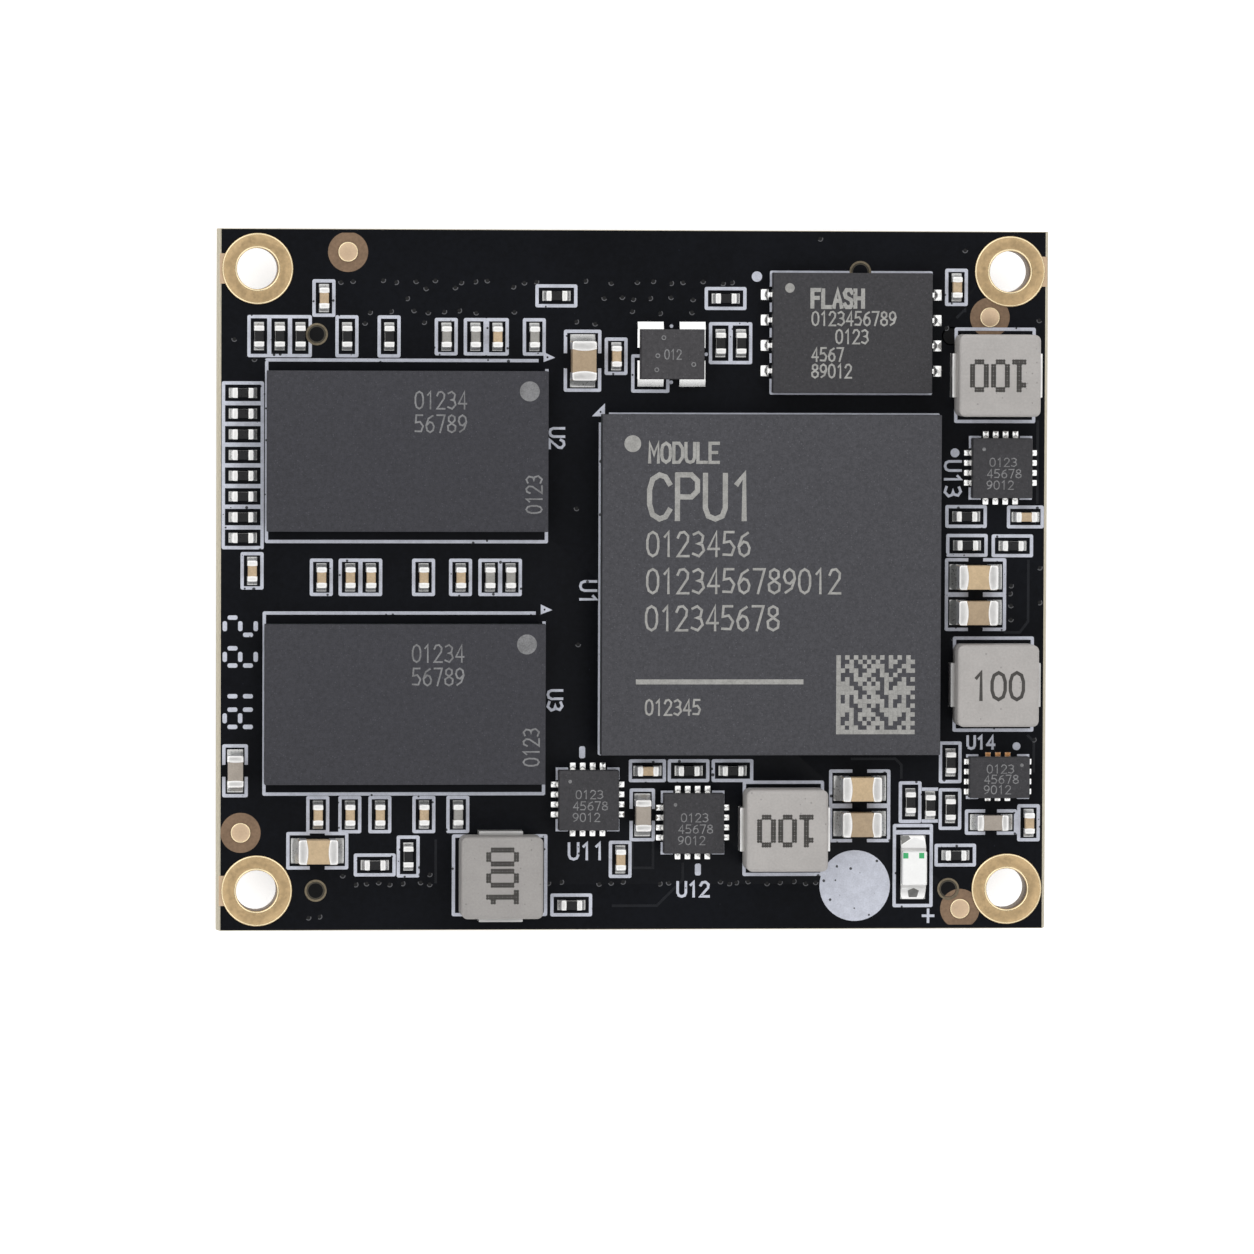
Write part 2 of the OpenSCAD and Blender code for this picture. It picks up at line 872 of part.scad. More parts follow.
module at_osc_leads() {
    for (x = [-1, 1], turn = [0, 180])
        rotate(turn)
            translate([x * (osc_l - osc_lead_w) / 2, osc_w / 2, 0])
                children();
}

module oscillator_base() {
    color("#3c3b3e")
        at_osc()
            translate([0, 0, osc_lead_t])
                block(osc_l, osc_w, osc_case_h);
}

module oscillator_lid() {
    color("#4a494c")
        at_osc()
            translate([0, 0, osc_lead_t + osc_case_h])
                soft_block(osc_l - 2 * osc_cover_margin, osc_w - 2 * osc_cover_margin,
                    osc_h - osc_case_h - osc_lead_t, osc_corner, osc_edge);
}

module oscillator_terminals() {
    color("#dcc898")
        at_osc()
            at_osc_leads()
                lead(osc_lead_w, osc_lead_l, osc_lead_t);
}

module osc_lands() {
    for (x = [-1, 1], y = [-1, 1])
        translate([x * osc_land_x, y * osc_land_y, -land_t])
            block(osc_land, osc_land, land_t);
}

module large_capacitor_bodies() {
    color("#b89e7e")
        at_places(large_caps)
            chip_body(cap_large);
}

module large_capacitor_terminals() {
    color("#ebebe8")
        at_places(large_caps)
            chip_terminals(cap_large, band_large);
}

module middle_capacitor_bodies() {
    color("#a59a8c")
        at_places(mid_caps)
            chip_body(cap_mid);
}

module middle_capacitor_terminals() {
    color("#ebebe8")
        at_places(mid_caps)
            chip_terminals(cap_mid, band_mid);
}

module tan_capacitor_bodies() {
    color("#cdb291")
        at_places(tan_caps)
            chip_body(cap_small);
}

module grey_capacitor_bodies() {
    color("#969694")
        at_places(grey_caps)
            chip_body(cap_small);
}

module small_capacitor_terminals() {
    color("#ebebe8")
        at_places(small_caps)
            chip_terminals(cap_small, band_small);
}

module resistor_bases() {
    color("#e4e2dc")
        at_places(resistors)
            chip_body(res_size);
}

// Dark glass coat on the middle of a resistor's upper face
module resistor_coats() {
    color("#1c1c1e")
        at_places(resistors)
            translate([0, 0, res_size[2] - term_wall])
                block(res_size[1] - 2 * term_wall, coat_l, coat_t);
}

module resistor_terminals() {
    color("#ebebe8")
        at_places(resistors)
            chip_terminals(res_size, band_small);
}

// Indicator light: a thin base with plated ends under a clear moulded lens
lamp_base_h = 0.3;
lamp_end = 0.14;
lamp_lens_l = lamp_l - 2 * lamp_end;
lamp_plate_t = 0.03;
lamp_out = 0.6;

module at_lamp() {
    translate([lamp.x, lamp.y, seat_z])
        children();
}

module indicator_base() {
    color("#e8e6dc")
        at_lamp()
            translate([0, 0, lamp_plate_t])
                block(lamp_w, lamp_l - 2 * lamp_plate_t, lamp_base_h);
}

module indicator_lens() {
    color("#f0f4ee")
        at_lamp()
            translate([0, 0, lamp_plate_t + lamp_base_h])
                soft_block(lamp_w, lamp_lens_l, lamp_h - lamp_base_h - lamp_plate_t, 0.1, 0.12);
}

// Plating that wraps round each end of the base, up to the lens
module indicator_terminals() {
    color("#ebebe8")
        at_lamp()
            for (s = [-1, 1])
                translate([0, s * (lamp_l - lamp_end) / 2, 0])
                    difference() {
                        block(lamp_w, lamp_end, lamp_base_h + 2 * lamp_plate_t);
                        translate([0, -s * lamp_plate_t, lamp_plate_t])
                            block(2 * lamp_w, lamp_end, lamp_base_h);
                    }
}

module solder_lands() {
    color("#d9d4c4") {
        at_places(resistors)
            chip_lands(res_size, band_small, over_small);
        at_places(small_caps)
            chip_lands(cap_small, band_small, over_small);
        at_places(mid_caps)
            chip_lands(cap_mid, band_mid, over_mid);
        at_places(large_caps)
            chip_lands(cap_large, band_large, over_large);
        for (i = [0 : 3])
            at_reg(i) {
                at_leads(reg_size(i).x, reg_size(i).y, reg_leads(i).x, reg_leads(i).y, reg_pitch)
                    lead_land(lead_w, lead_l, reg_out(i));
                translate([0, 0, -land_t])
                    block(reg_size(i).x - 2 * pad_margin, reg_size(i).y - 2 * pad_margin, land_t);
            }
        for (i = [0 : 3])
            at_coil(i)
                for (turn = [0, 180])
                    rotate(turn)
                        translate([0, coil_w / 2, 0])
                            lead_land(coil_term_w, coil_term_in, coil_reach);
        translate([flash_x, flash_y, seat_z])
            at_leads(flash_l, flash_w, 0, 4, flash_pitch)
                lead_land(flash_lead_w, flash_lead_l, flash_out);
        at_osc()
            osc_lands();
        at_lamp()
            for (turn = [0, 180])
                rotate(turn)
                    translate([0, lamp_l / 2, 0])
                        lead_land(lamp_w, lamp_end, lamp_out);
    }
}

module solder_fillets() {
    color("#f0f0ee") {
        at_places(resistors)
            chip_fillets(res_size, over_small);
        at_places(small_caps)
            chip_fillets(cap_small, over_small);
        at_places(mid_caps)
            chip_fillets(cap_mid, over_mid);
        at_places(large_caps)
            chip_fillets(cap_large, over_large);
    }
}

// Connector: two walls round a trough, with contacts down their outer faces
conn_corner = 0.4;
conn_edge = 0.2;
trough_end = 1.3;
contact_tip = 0.35;
tail_t = contact_t;

module conn_housing(y) {
    color("#202022")
        translate([0, y, 0]) {
            underneath()
                difference() {
                    soft_block(conn_l, conn_w, conn_h, conn_corner, conn_edge);
                    translate([0, 0, trough_floor])
                        linear_extrude(conn_h)
                            round_rect(conn_l - 2 * trough_end, trough_w, conn_edge);
                }
            for (x = [-1, 1])
                translate([x * peg_x, 0, under_z])
                    cylinder(h = board_t, d = peg_d);
        }
}

// Strip along X of width w: a tail on its land and a blade against the housing's wall
module wall_strip(w, tip) {
    rotate([90, 0, 90])
        linear_extrude(w, center = true) {
            translate([conn_w / 2, land_t])
                square([contact_t, conn_h - land_t - tip]);
            translate([conn_w / 2, land_t])
                square([tail_reach, tail_t]);
        }
}

module at_contacts(y) {
    translate([0, y, 0])
        underneath()
            for (s = side_steps(conn_n, conn_pitch), turn = [0, 180])
                translate([s, 0, 0])
                    rotate(turn)
                        children();
}

module at_nails(y) {
    translate([0, y, 0])
        underneath()
            for (x = [-1, 1], turn = [0, 180])
                translate([x * nail_x, 0, 0])
                    rotate(turn)
                        children();
}

module conn_contacts(y) {
    color("#d6b25a")
        at_contacts(y)
            wall_strip(contact_w, contact_tip);
}

module conn_nails(y) {
    color("#d0d0cc")
        at_nails(y)
            wall_strip(nail_w, conn_h / 2);
}

module tail_land(w) {
    translate([-w / 2, conn_w / 2, 0])
        cube([w, tail_reach, land_t]);
}

// Grid of small capacitors below the processor
module at_under_caps() {
    translate([cpu_x, cpu_y, 0])
        underneath()
            for (x = side_steps(under_n.x, under_step.x), y = side_steps(under_n.y, under_step.y))
                translate([x, y, land_t])
                    children();
}

module underside_capacitor_bodies() {
    color("#cdb291")
        at_under_caps()
            chip_body(cap_small);
}

module underside_capacitor_terminals() {
    color("#ebebe8")
        at_under_caps()
            chip_terminals(cap_small, band_small);
}

module underside_lands() {
    color("#d9d4c4") {
        at_under_caps()
            chip_lands(cap_small, band_small, over_small);
        for (y = conn_ys) {
            at_contacts(y)
                tail_land(contact_w);
            at_nails(y)
                tail_land(nail_w);
        }
    }
}

circuit_board();
mounting_rings();
locating_rings();
fiducial_dots();
printed_legend();
solder_lands();
solder_fillets();
processor_moulding();
processor_substrate();
processor_balls();
mem_moulding(mem_a);  // memory_a_moulding
mem_substrate(mem_a);  // memory_a_substrate
mem_balls(mem_a);  // memory_a_balls
mem_moulding(mem_b);  // memory_b_moulding
mem_substrate(mem_b);  // memory_b_substrate
mem_balls(mem_b);  // memory_b_balls
flash_body();
flash_terminals();
oscillator_base();
oscillator_lid();
oscillator_terminals();
reg_body(0);  // regulator_1_body
reg_metal(0);  // regulator_1_terminals
reg_body(1);  // regulator_2_body
reg_metal(1);  // regulator_2_terminals
reg_body(2);  // regulator_3_body
reg_metal(2);  // regulator_3_terminals
reg_body(3);  // regulator_4_body
reg_metal(3);  // regulator_4_terminals
coil_body(0);  // inductor_1_body
coil_metal(0);  // inductor_1_terminals
coil_body(1);  // inductor_2_body
coil_metal(1);  // inductor_2_terminals
coil_body(2);  // inductor_3_body
coil_metal(2);  // inductor_3_terminals
coil_body(3);  // inductor_4_body
coil_metal(3);  // inductor_4_terminals
large_capacitor_bodies();
large_capacitor_terminals();
middle_capacitor_bodies();
middle_capacitor_terminals();
tan_capacitor_bodies();
grey_capacitor_bodies();
small_capacitor_terminals();
resistor_bases();
resistor_coats();
resistor_terminals();
indicator_base();
indicator_lens();
indicator_terminals();
conn_housing(conn_ys[0]);  // connector_1_housing
conn_contacts(conn_ys[0]);  // connector_1_contacts
conn_nails(conn_ys[0]);  // connector_1_nails
conn_housing(conn_ys[1]);  // connector_2_housing
conn_contacts(conn_ys[1]);  // connector_2_contacts
conn_nails(conn_ys[1]);  // connector_2_nails
underside_lands();
underside_capacitor_bodies();
underside_capacitor_terminals();
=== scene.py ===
"""Finishes and fine pieces of a system on module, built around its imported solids."""

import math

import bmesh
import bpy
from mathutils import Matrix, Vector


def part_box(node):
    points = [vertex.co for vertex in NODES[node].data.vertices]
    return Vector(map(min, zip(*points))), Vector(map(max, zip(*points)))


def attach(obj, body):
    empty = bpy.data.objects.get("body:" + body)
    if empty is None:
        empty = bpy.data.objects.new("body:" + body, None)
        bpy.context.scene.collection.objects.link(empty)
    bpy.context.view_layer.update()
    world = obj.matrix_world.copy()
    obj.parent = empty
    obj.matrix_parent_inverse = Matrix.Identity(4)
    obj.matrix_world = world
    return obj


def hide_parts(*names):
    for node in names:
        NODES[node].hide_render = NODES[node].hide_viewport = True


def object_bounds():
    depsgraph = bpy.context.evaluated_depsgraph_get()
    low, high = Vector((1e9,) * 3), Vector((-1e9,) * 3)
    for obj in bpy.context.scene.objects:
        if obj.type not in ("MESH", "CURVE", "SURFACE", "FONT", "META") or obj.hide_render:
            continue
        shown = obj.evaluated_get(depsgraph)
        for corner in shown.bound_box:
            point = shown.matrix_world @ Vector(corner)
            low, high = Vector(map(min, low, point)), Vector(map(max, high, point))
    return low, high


bl_info = {
    "name": "System on Module Dressing",
    "version": (1, 0, 0),
    "blender": (4, 5, 0),
    "location": "View3D > Sidebar > Module",
    "description": "Dresses a circuit module with mask, ink, solder, mouldings and markings",
    "category": "Object",
}

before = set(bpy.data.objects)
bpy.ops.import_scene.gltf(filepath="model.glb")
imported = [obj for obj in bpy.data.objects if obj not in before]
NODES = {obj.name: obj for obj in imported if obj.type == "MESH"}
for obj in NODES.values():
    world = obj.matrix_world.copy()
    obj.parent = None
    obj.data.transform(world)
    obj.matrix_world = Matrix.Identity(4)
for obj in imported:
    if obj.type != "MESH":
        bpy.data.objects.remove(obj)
CAD_LOW, CAD_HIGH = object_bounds()
BODY = "root"
MM = 0.001


def node_box(node):
    """Lowest and highest corner of a CAD node, in millimetres."""
    low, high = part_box(node)
    return low / MM, high / MM


def node_bmesh(node):
    """A CAD node's mesh in millimetres, with its split corners welded."""
    bm = bmesh.new()
    bm.from_mesh(NODES[node].data)
    bmesh.ops.scale(bm, vec=(1 / MM,) * 3, verts=bm.verts)
    bmesh.ops.remove_doubles(bm, verts=bm.verts, dist=1e-4)
    return bm


def islands(node):
    """The box of each separate solid of a CAD node, in millimetres."""
    bm = node_bmesh(node)
    bm.verts.ensure_lookup_table()
    seen = set()
    boxes = []
    for start in bm.verts:
        if start.index in seen:
            continue
        seen.add(start.index)
        stack = [start]
        group = []
        while stack:
            vert = stack.pop()
            group.append(vert.co.copy())
            for edge in vert.link_edges:
                other = edge.other_vert(vert)
                if other.index not in seen:
                    seen.add(other.index)
                    stack.append(other)
        low = Vector(min(p[k] for p in group) for k in range(3))
        high = Vector(max(p[k] for p in group) for k in range(3))
        boxes.append((low, high))
    bm.free()
    return sorted(boxes, key=lambda b: tuple(round(v, 3) for v in b[0]))


BOARD_HIGH = node_box("circuit_board")[1]
TOP = BOARD_HIGH.z
EDGE_X = BOARD_HIGH.x
EDGE_Y = BOARD_HIGH.y
# Height of thin films, such as mask, print and bare plate
FILM = 0.004
# Faces that meet at less than this are joined, and edges that turn by more than this are rounded
FLAT_ANGLE = math.radians(1)
SHARP_ANGLE = math.radians(40)


# Mesh helpers, all in millimetres


def skin(bm, rows):
    """Faces between neighbouring rows of points."""
    for a, b in zip(rows, rows[1:]):
        for j in range(len(a) - 1):
            bm.faces.new((a[j], a[j + 1], b[j + 1], b[j]))


def add_loft(bm, loops):
    """Skins a stack of closed loops that have the same number of points, and closes both ends."""
    rings = [[bm.verts.new(point) for point in loop] for loop in loops]
    skin(bm, [ring + ring[:1] for ring in rings])
    bm.faces.new(rings[0][::-1])
    bm.faces.new(rings[-1])


def add_prism(bm, outline, low, high):
    """A flat outline, counter-clockwise, raised from low to high."""
    add_loft(bm, [[(x, y, z) for x, y in outline] for z in (low, high)])


def rectangle(low, high):
    """Corners of a rectangle, counter-clockwise."""
    return (low[0], low[1]), (high[0], low[1]), (high[0], high[1]), (low[0], high[1])


def add_box(bm, low, high):
    """A box between two corners."""
    add_prism(bm, rectangle(low, high), low[2], high[2])


def circle_points(x, y, radius, count=32):
    """Points round a circle."""
    return [(x + radius * math.cos(2 * math.pi * i / count), y + radius * math.sin(2 * math.pi * i / count))
            for i in range(count)]


def add_disc(bm, x, y, radius, low, high, count=32):
    """A short cylinder."""
    add_prism(bm, circle_points(x, y, radius, count), low, high)


def add_turned(bm, x, y, profile, count=48):
    """A closed profile of radius and height turned about an upright axis."""
    rings = []
    for i in range(count):
        angle = 2 * math.pi * i / count
        across, along = math.cos(angle), math.sin(angle)
        rings.append([bm.verts.new((x + r * across, y + r * along, z)) for r, z in profile])
    skin(bm, [ring + ring[:1] for ring in rings + rings[:1]])


def add_stroke(bm, points, width, low, high):
    """A pen stroke along points with mitred joints. A line that ends where it starts is closed."""
    closed = points[0] == points[-1]
    line = [Vector(p) for p in (points[:-1] if closed else points)]
    count = len(line)
    stretches = count if closed else count - 1
    ways = [(line[(i + 1) % count] - line[i]).normalized() for i in range(stretches)]
    if not closed:
        # The pen runs a little past the two ends
        line[0] = line[0] - ways[0] * width * 0.4
        line[-1] = line[-1] + ways[-1] * width * 0.4
    stations = []
    for i, point in enumerate(line):
        before = ways[i - 1] if i > 0 or closed else ways[0]
        after = ways[i] if i < stretches else ways[-1]
        normals = [Vector((-way.y, way.x)) for way in (before, after)]
        bisector = (normals[0] + normals[1]).normalized()
        # Keeps the tip of a sharp joint short
        reach = bisector * width / 2 / max(0.5, bisector.dot(normals[0]))
        sides = (point + reach, point - reach)
        stations.append([bm.verts.new((p.x, p.y, z)) for p in sides for z in (low, high)])
    for i in range(stretches):
        a, b = stations[i], stations[(i + 1) % count]
        for j, k in ((0, 1), (1, 3), (3, 2), (2, 0)):
            bm.faces.new((a[j], a[k], b[k], b[j]))
    if not closed:
        for station in (stations[0], stations[-1]):
            bm.faces.new([station[k] for k in (0, 1, 3, 2)])


def add_bead(bm, low, high, base, slope, steps=10):
    """A bead of solder on a rectangle: a low mound that slopes evenly up from its rim."""
    grid = []
    half = [(high[k] - low[k]) / 2 for k in (0, 1)]
    for j in range(steps + 1):
        row = []
        v = 2 * j / steps - 1
        for i in range(steps + 1):
            u = 2 * i / steps - 1
            # Pulls the corners in, so the bead's rim is rounded
            pull = 1 - 0.1 * u * u * v * v
            x = low[0] + half[0] * (1 + u * pull)
            y = low[1] + half[1] * (1 + v * pull)
            z = base + slope * min((1 - abs(u)) * half[0], (1 - abs(v)) * half[1])
            row.append(bm.verts.new((x, y, z)))
        grid.append(row)
    skin(bm, grid)
    between = grid[1:-1]
    rim = grid[0] + [row[-1] for row in between] + grid[-1][::-1] + [row[0] for row in between[::-1]]
    bm.faces.new(rim[::-1])


def place_point(middle, axis, along, across):
    """A point given along and across an axis, 0 for X and 1 for Y, from a middle point."""
    if axis == 0:
        return middle[0] + along, middle[1] + across
    return middle[0] + across, middle[1] + along


def cap_outline(length, width, bulge, corner, steps=6):
    """Outline of an end cap: square with round corners outside, and an arc towards the chip's middle.

    The cap's outer end is at -length / 2 and its arc swells past +length / 2.
    """
    points = []
    for i in range(2 * steps + 1):
        turn = 2 * i / (2 * steps) - 1
        points.append((length / 2 + bulge * (1 - turn * turn), turn * width / 2))
    for side in (1, -1):
        for i in range(steps + 1):
            angle = math.pi / 2 * (1 + i / steps) if side == 1 else math.pi * (1 + i / steps / 2)
            points.append((corner - length / 2 + corner * math.cos(angle),
                           side * (width / 2 - corner) + corner * math.sin(angle)))
    return points


def add_cap(bm, low, high, axis, inward, bulge, corner, edge, rounds=4):
    """A plated end cap with a soft top edge. Inward is the sign of the way to the chip's middle."""
    length = high[axis] - low[axis]
    width = high[1 - axis] - low[1 - axis]
    middle = [(low[k] + high[k]) / 2 for k in (0, 1)]
    outline = cap_outline(length, width, bulge, corner)
    heights = [(0.0, low[2])]
    for i in range(rounds + 1):
        angle = math.pi / 2 * i / rounds
        heights.append((edge * (1 - math.cos(angle)), high[2] - edge * (1 - math.sin(angle))))
    # The cap's top swells a little towards its middle
    heights.append((min(length, width) * 0.3, high[2] + edge * 0.25))
    loops = []
    for inset, z in heights:
        loop = []
        for along, across in outline:
            u = along * (1 - 2 * inset / length) * inward
            v = across * (1 - 2 * inset / width)
            loop.append((*place_point(middle, axis, u, v), z))
        # Keeps the loop counter-clockwise seen from above
        loops.append(loop if (inward == 1) == (axis == 0) else loop[::-1])
    add_loft(bm, loops)


def fillet_crest(low, high, run):
    """Height of a fillet at a share of its run from the end face to the toe."""
    return low + (high - low) * (1 - run) ** 1.4


def add_fillet(bm, low, high, axis, inward, sag=0.45, steps=8):
    """Hollow run of solder from an upright end face down to the toe of its land."""
    length = high[axis] - low[axis]
    width = high[1 - axis] - low[1 - axis]
    middle = [(low[k] + high[k]) / 2 for k in (0, 1)]
    top_rows, base_rows = [], []
    for i in range(steps + 1):
        run = i / steps
        # The toe is a little narrower
        half = width / 2 * (1 - 0.18 * run ** 4)
        along = inward * (length / 2 - run * length)
        crest = fillet_crest(low[2], high[2], run)
        top, base = [], []
        for j in range(steps + 1):
            side = 2 * j / steps - 1
            x, y = place_point(middle, axis, along, side * half)
            # The run is lower at its two sides, where the solder has drawn in
            drop = (crest - low[2]) * sag * abs(side) ** 5
            top.append(bm.verts.new((x, y, max(crest - drop, low[2] + FILM))))
            base.append(bm.verts.new((x, y, low[2])))
        top_rows.append(top)
        base_rows.append(base)
    skin(bm, top_rows)
    skin(bm, base_rows)
    for k in (0, -1):
        skin(bm, (top_rows[k], base_rows[k]))
        skin(bm, [[row[k] for row in rows] for rows in (top_rows, base_rows)])


def softened(node, width, segments=2):
    """A copy of a CAD node's mesh, in millimetres, with its sharp edges rounded by width."""
    bm = node_bmesh(node)
    bmesh.ops.dissolve_limit(bm, angle_limit=FLAT_ANGLE, verts=bm.verts, edges=bm.edges)
    sharp = [e for e in bm.edges if len(e.link_faces) == 2 and e.calc_face_angle() > SHARP_ANGLE]
    bmesh.ops.bevel(bm, geom=sharp, offset=width, segments=segments, profile=0.5, affect="EDGES",
                    clamp_overlap=True)
    return bm


def make_piece(name, bm, looks, slot, nodes=(), smooth=35):
    """Turns a mesh in millimetres into a piece that rides on the module.

    Looks are the names of its finishes, or one name.
    """
    bmesh.ops.recalc_face_normals(bm, faces=bm.faces)
    bmesh.ops.scale(bm, vec=(MM,) * 3, verts=bm.verts)
    mesh = bpy.data.meshes.new(name)
    bm.to_mesh(mesh)
    bm.free()
    for look in [looks] if isinstance(looks, str) else looks:
        mesh.materials.append(finish(look))
    mesh.shade_smooth()
    mesh.set_sharp_from_angle(angle=math.radians(smooth))
    piece = bpy.data.objects.new(name, mesh)
    bpy.context.scene.collection.objects.link(piece)
    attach(piece, BODY)
    if nodes:
        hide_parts(*nodes)


def paint(node, look):
    """Gives a CAD node that keeps its shape its finish."""
    slots = NODES[node].data.materials
    slots.clear()
    slots.append(finish(look))


# Shared effects


FLOAT = "NodeSocketFloat"
COLOUR = "NodeSocketColor"


def texture_node(tree, kind, scale, **settings):
    """A texture on the object's own coordinates, with its scale taken from a socket."""
    coords = tree.nodes.new("ShaderNodeTexCoord")
    node = tree.nodes.new(kind)
    tree.links.new(coords.outputs["Object"], node.inputs["Vector"])
    tree.links.new(scale, node.inputs["Scale"])
    for key, value in settings.items():
        node.inputs[key].default_value = value
    return node


def math_node(tree, operation, first, second):
    """An operation on two values, each a socket or a number."""
    node = tree.nodes.new("ShaderNodeMath")
    node.operation = operation
    for socket, value in zip(node.inputs, (first, second)):
        if isinstance(value, (int, float)):
            socket.default_value = value
        else:
            tree.links.new(value, socket)
    return node.outputs[0]


def ramp_node(tree, source, low, high):
    """A smooth step of a value, from 0 at low to 1 at high."""
    node = tree.nodes.new("ShaderNodeMapRange")
    node.interpolation_type = "SMOOTHSTEP"
    node.inputs["From Min"].default_value = low
    node.inputs["From Max"].default_value = high
    tree.links.new(source, node.inputs["Value"])
    return node.outputs["Result"]


def mix_colour(tree, factor, first, second):
    """A mix of two colours, each a socket or a value."""
    node = tree.nodes.new("ShaderNodeMix")
    node.data_type = "RGBA"
    tree.links.new(factor, node.inputs["Factor"])
    # The colour sockets come after those for numbers and vectors
    for socket, value in zip(node.inputs[6:8], (first, second)):
        if isinstance(value, (tuple, list)):
            socket.default_value = value
        else:
            tree.links.new(value, socket)
    return node.outputs[2]


def fill_mottle(group, start, end):
    """Two sizes of soft blotches between two colours."""
    broad = texture_node(group, "ShaderNodeTexNoise", start.outputs["Scale"], Detail=3.0, Roughness=0.6)
    fine = texture_node(group, "ShaderNodeTexNoise", start.outputs["Fine Scale"], Detail=2.0, Roughness=0.7)
    total = math_node(group, "ADD", broad.outputs["Fac"], fine.outputs["Fac"])
    mask = ramp_node(group, math_node(group, "MULTIPLY", total, 0.5), 0.32, 0.68)
    colour = mix_colour(group, mask, start.outputs["Dark"], start.outputs["Light"])
    group.links.new(colour, end.inputs["Color"])


def fill_grain(group, start, end):
    """Fine grain: a height for bump, and a roughness that follows it."""
    noise = texture_node(group, "ShaderNodeTexNoise", start.outputs["Scale"], Detail=4.0, Roughness=0.65)
    pits = texture_node(group, "ShaderNodeTexVoronoi", start.outputs["Scale"], Randomness=1.0)
    depth = math_node(group, "MULTIPLY", pits.outputs["Distance"], 0.4)
    group.links.new(math_node(group, "ADD", noise.outputs["Fac"], depth), end.inputs["Height"])
    blend = group.nodes.new("ShaderNodeMapRange")
    group.links.new(noise.outputs["Fac"], blend.inputs["Value"])
    blend.inputs["From Min"].default_value = 0.3
    blend.inputs["From Max"].default_value = 0.7
    group.links.new(start.outputs["Smooth"], blend.inputs["To Min"])
    group.links.new(start.outputs["Rough"], blend.inputs["To Max"])
    group.links.new(blend.outputs["Result"], end.inputs["Roughness"])


def fill_specks(group, start, end):
    """Sparse small specks, as dust or filler grains."""
    cells = texture_node(group, "ShaderNodeTexVoronoi", start.outputs["Scale"], Randomness=1.0)
    choice = group.nodes.new("ShaderNodeSeparateColor")
    group.links.new(cells.outputs["Color"], choice.inputs["Color"])
    reach = math_node(group, "MULTIPLY", choice.outputs["Red"], start.outputs["Size"])
    inside = math_node(group, "LESS_THAN", cells.outputs["Distance"], reach)
    rare = math_node(group, "GREATER_THAN", choice.outputs["Green"], 0.55)
    group.links.new(math_node(group, "MULTIPLY", inside, rare), end.inputs["Mask"])


# How each effect is filled, its inputs and its outputs
EFFECTS = {
    "Mottle": (fill_mottle, (("Dark", COLOUR), ("Light", COLOUR), ("Scale", FLOAT), ("Fine Scale", FLOAT)),
               (("Color", COLOUR),)),
    "Fine Grain": (fill_grain, (("Scale", FLOAT), ("Smooth", FLOAT), ("Rough", FLOAT)),
                   (("Height", FLOAT), ("Roughness", FLOAT))),
    "Specks": (fill_specks, (("Scale", FLOAT), ("Size", FLOAT)), (("Mask", FLOAT),)),
}


def effect_group(name):
    """The node group of a shared effect, made on first use."""
    if name not in bpy.data.node_groups:
        group = bpy.data.node_groups.new(name, "ShaderNodeTree")
        fill, inputs, outputs = EFFECTS[name]
        for way, sockets in (("INPUT", inputs), ("OUTPUT", outputs)):
            for label, kind in sockets:
                group.interface.new_socket(label, in_out=way, socket_type=kind)
        fill(group, group.nodes.new("NodeGroupInput"), group.nodes.new("NodeGroupOutput"))
    return bpy.data.node_groups[name]


def place_effect(tree, name, **values):
    """Puts a shared effect into a material with its own values."""
    node = tree.nodes.new("ShaderNodeGroup")
    node.node_tree = effect_group(name)
    for key, value in values.items():
        node.inputs[key.replace("_", " ")].default_value = value
    return node


def shade(colour, factor):
    """A colour made lighter or darker, with alpha."""
    return (colour[0] * factor, colour[1] * factor, colour[2] * factor, 1.0)


class Finish:
    """A material with its shader, and the tree to add effects to."""

    # Height of the grain, in metres
    grain_height = 0.00002

    def __init__(self, name, **sockets):
        self.material = bpy.data.materials.new(name)
        self.material.use_nodes = True
        self.tree = self.material.node_tree
        self.bsdf = self.tree.nodes["Principled BSDF"]
        for key, value in sockets.items():
            self.bsdf.inputs[key.replace("_", " ")].default_value = value

    def link(self, output, socket):
        self.tree.links.new(output, self.bsdf.inputs[socket])

    def mottle(self, colour, spread, scale, fine):
        """Blotches of two near colours. Gives back their colour output."""
        node = place_effect(self.tree, "Mottle", Dark=shade(colour, 1 - spread),
                            Light=shade(colour, 1 + spread), Scale=scale, Fine_Scale=fine)
        self.link(node.outputs["Color"], "Base Color")
        return node.outputs["Color"]

    def grain(self, scale, smooth, rough, depth):
        """Fine bump and a roughness that varies with it."""
        node = place_effect(self.tree, "Fine Grain", Scale=scale, Smooth=smooth, Rough=rough)
        self.link(node.outputs["Roughness"], "Roughness")
        bump = self.tree.nodes.new("ShaderNodeBump")
        bump.inputs["Strength"].default_value = depth
        bump.inputs["Distance"].default_value = self.grain_height
        self.tree.links.new(node.outputs["Height"], bump.inputs["Height"])
        self.link(bump.outputs["Normal"], "Normal")

    def specks(self, under, colour, scale, size):
        """Specks of another colour over a colour output."""
        node = place_effect(self.tree, "Specks", Scale=scale, Size=size)
        self.link(mix_colour(self.tree, node.outputs["Mask"], under, colour), "Base Color")


MATERIALS = {}


def finish(name):
    """A material of this module, made on first use."""
    if name not in MATERIALS:
        MATERIALS[name] = FINISHES[name](colours()).material
    return MATERIALS[name]


def colours():
    return bpy.context.scene.module_colours


def sizes():
    return bpy.context.scene.module_sizes


def stage_values():
    return bpy.context.scene.module_stage


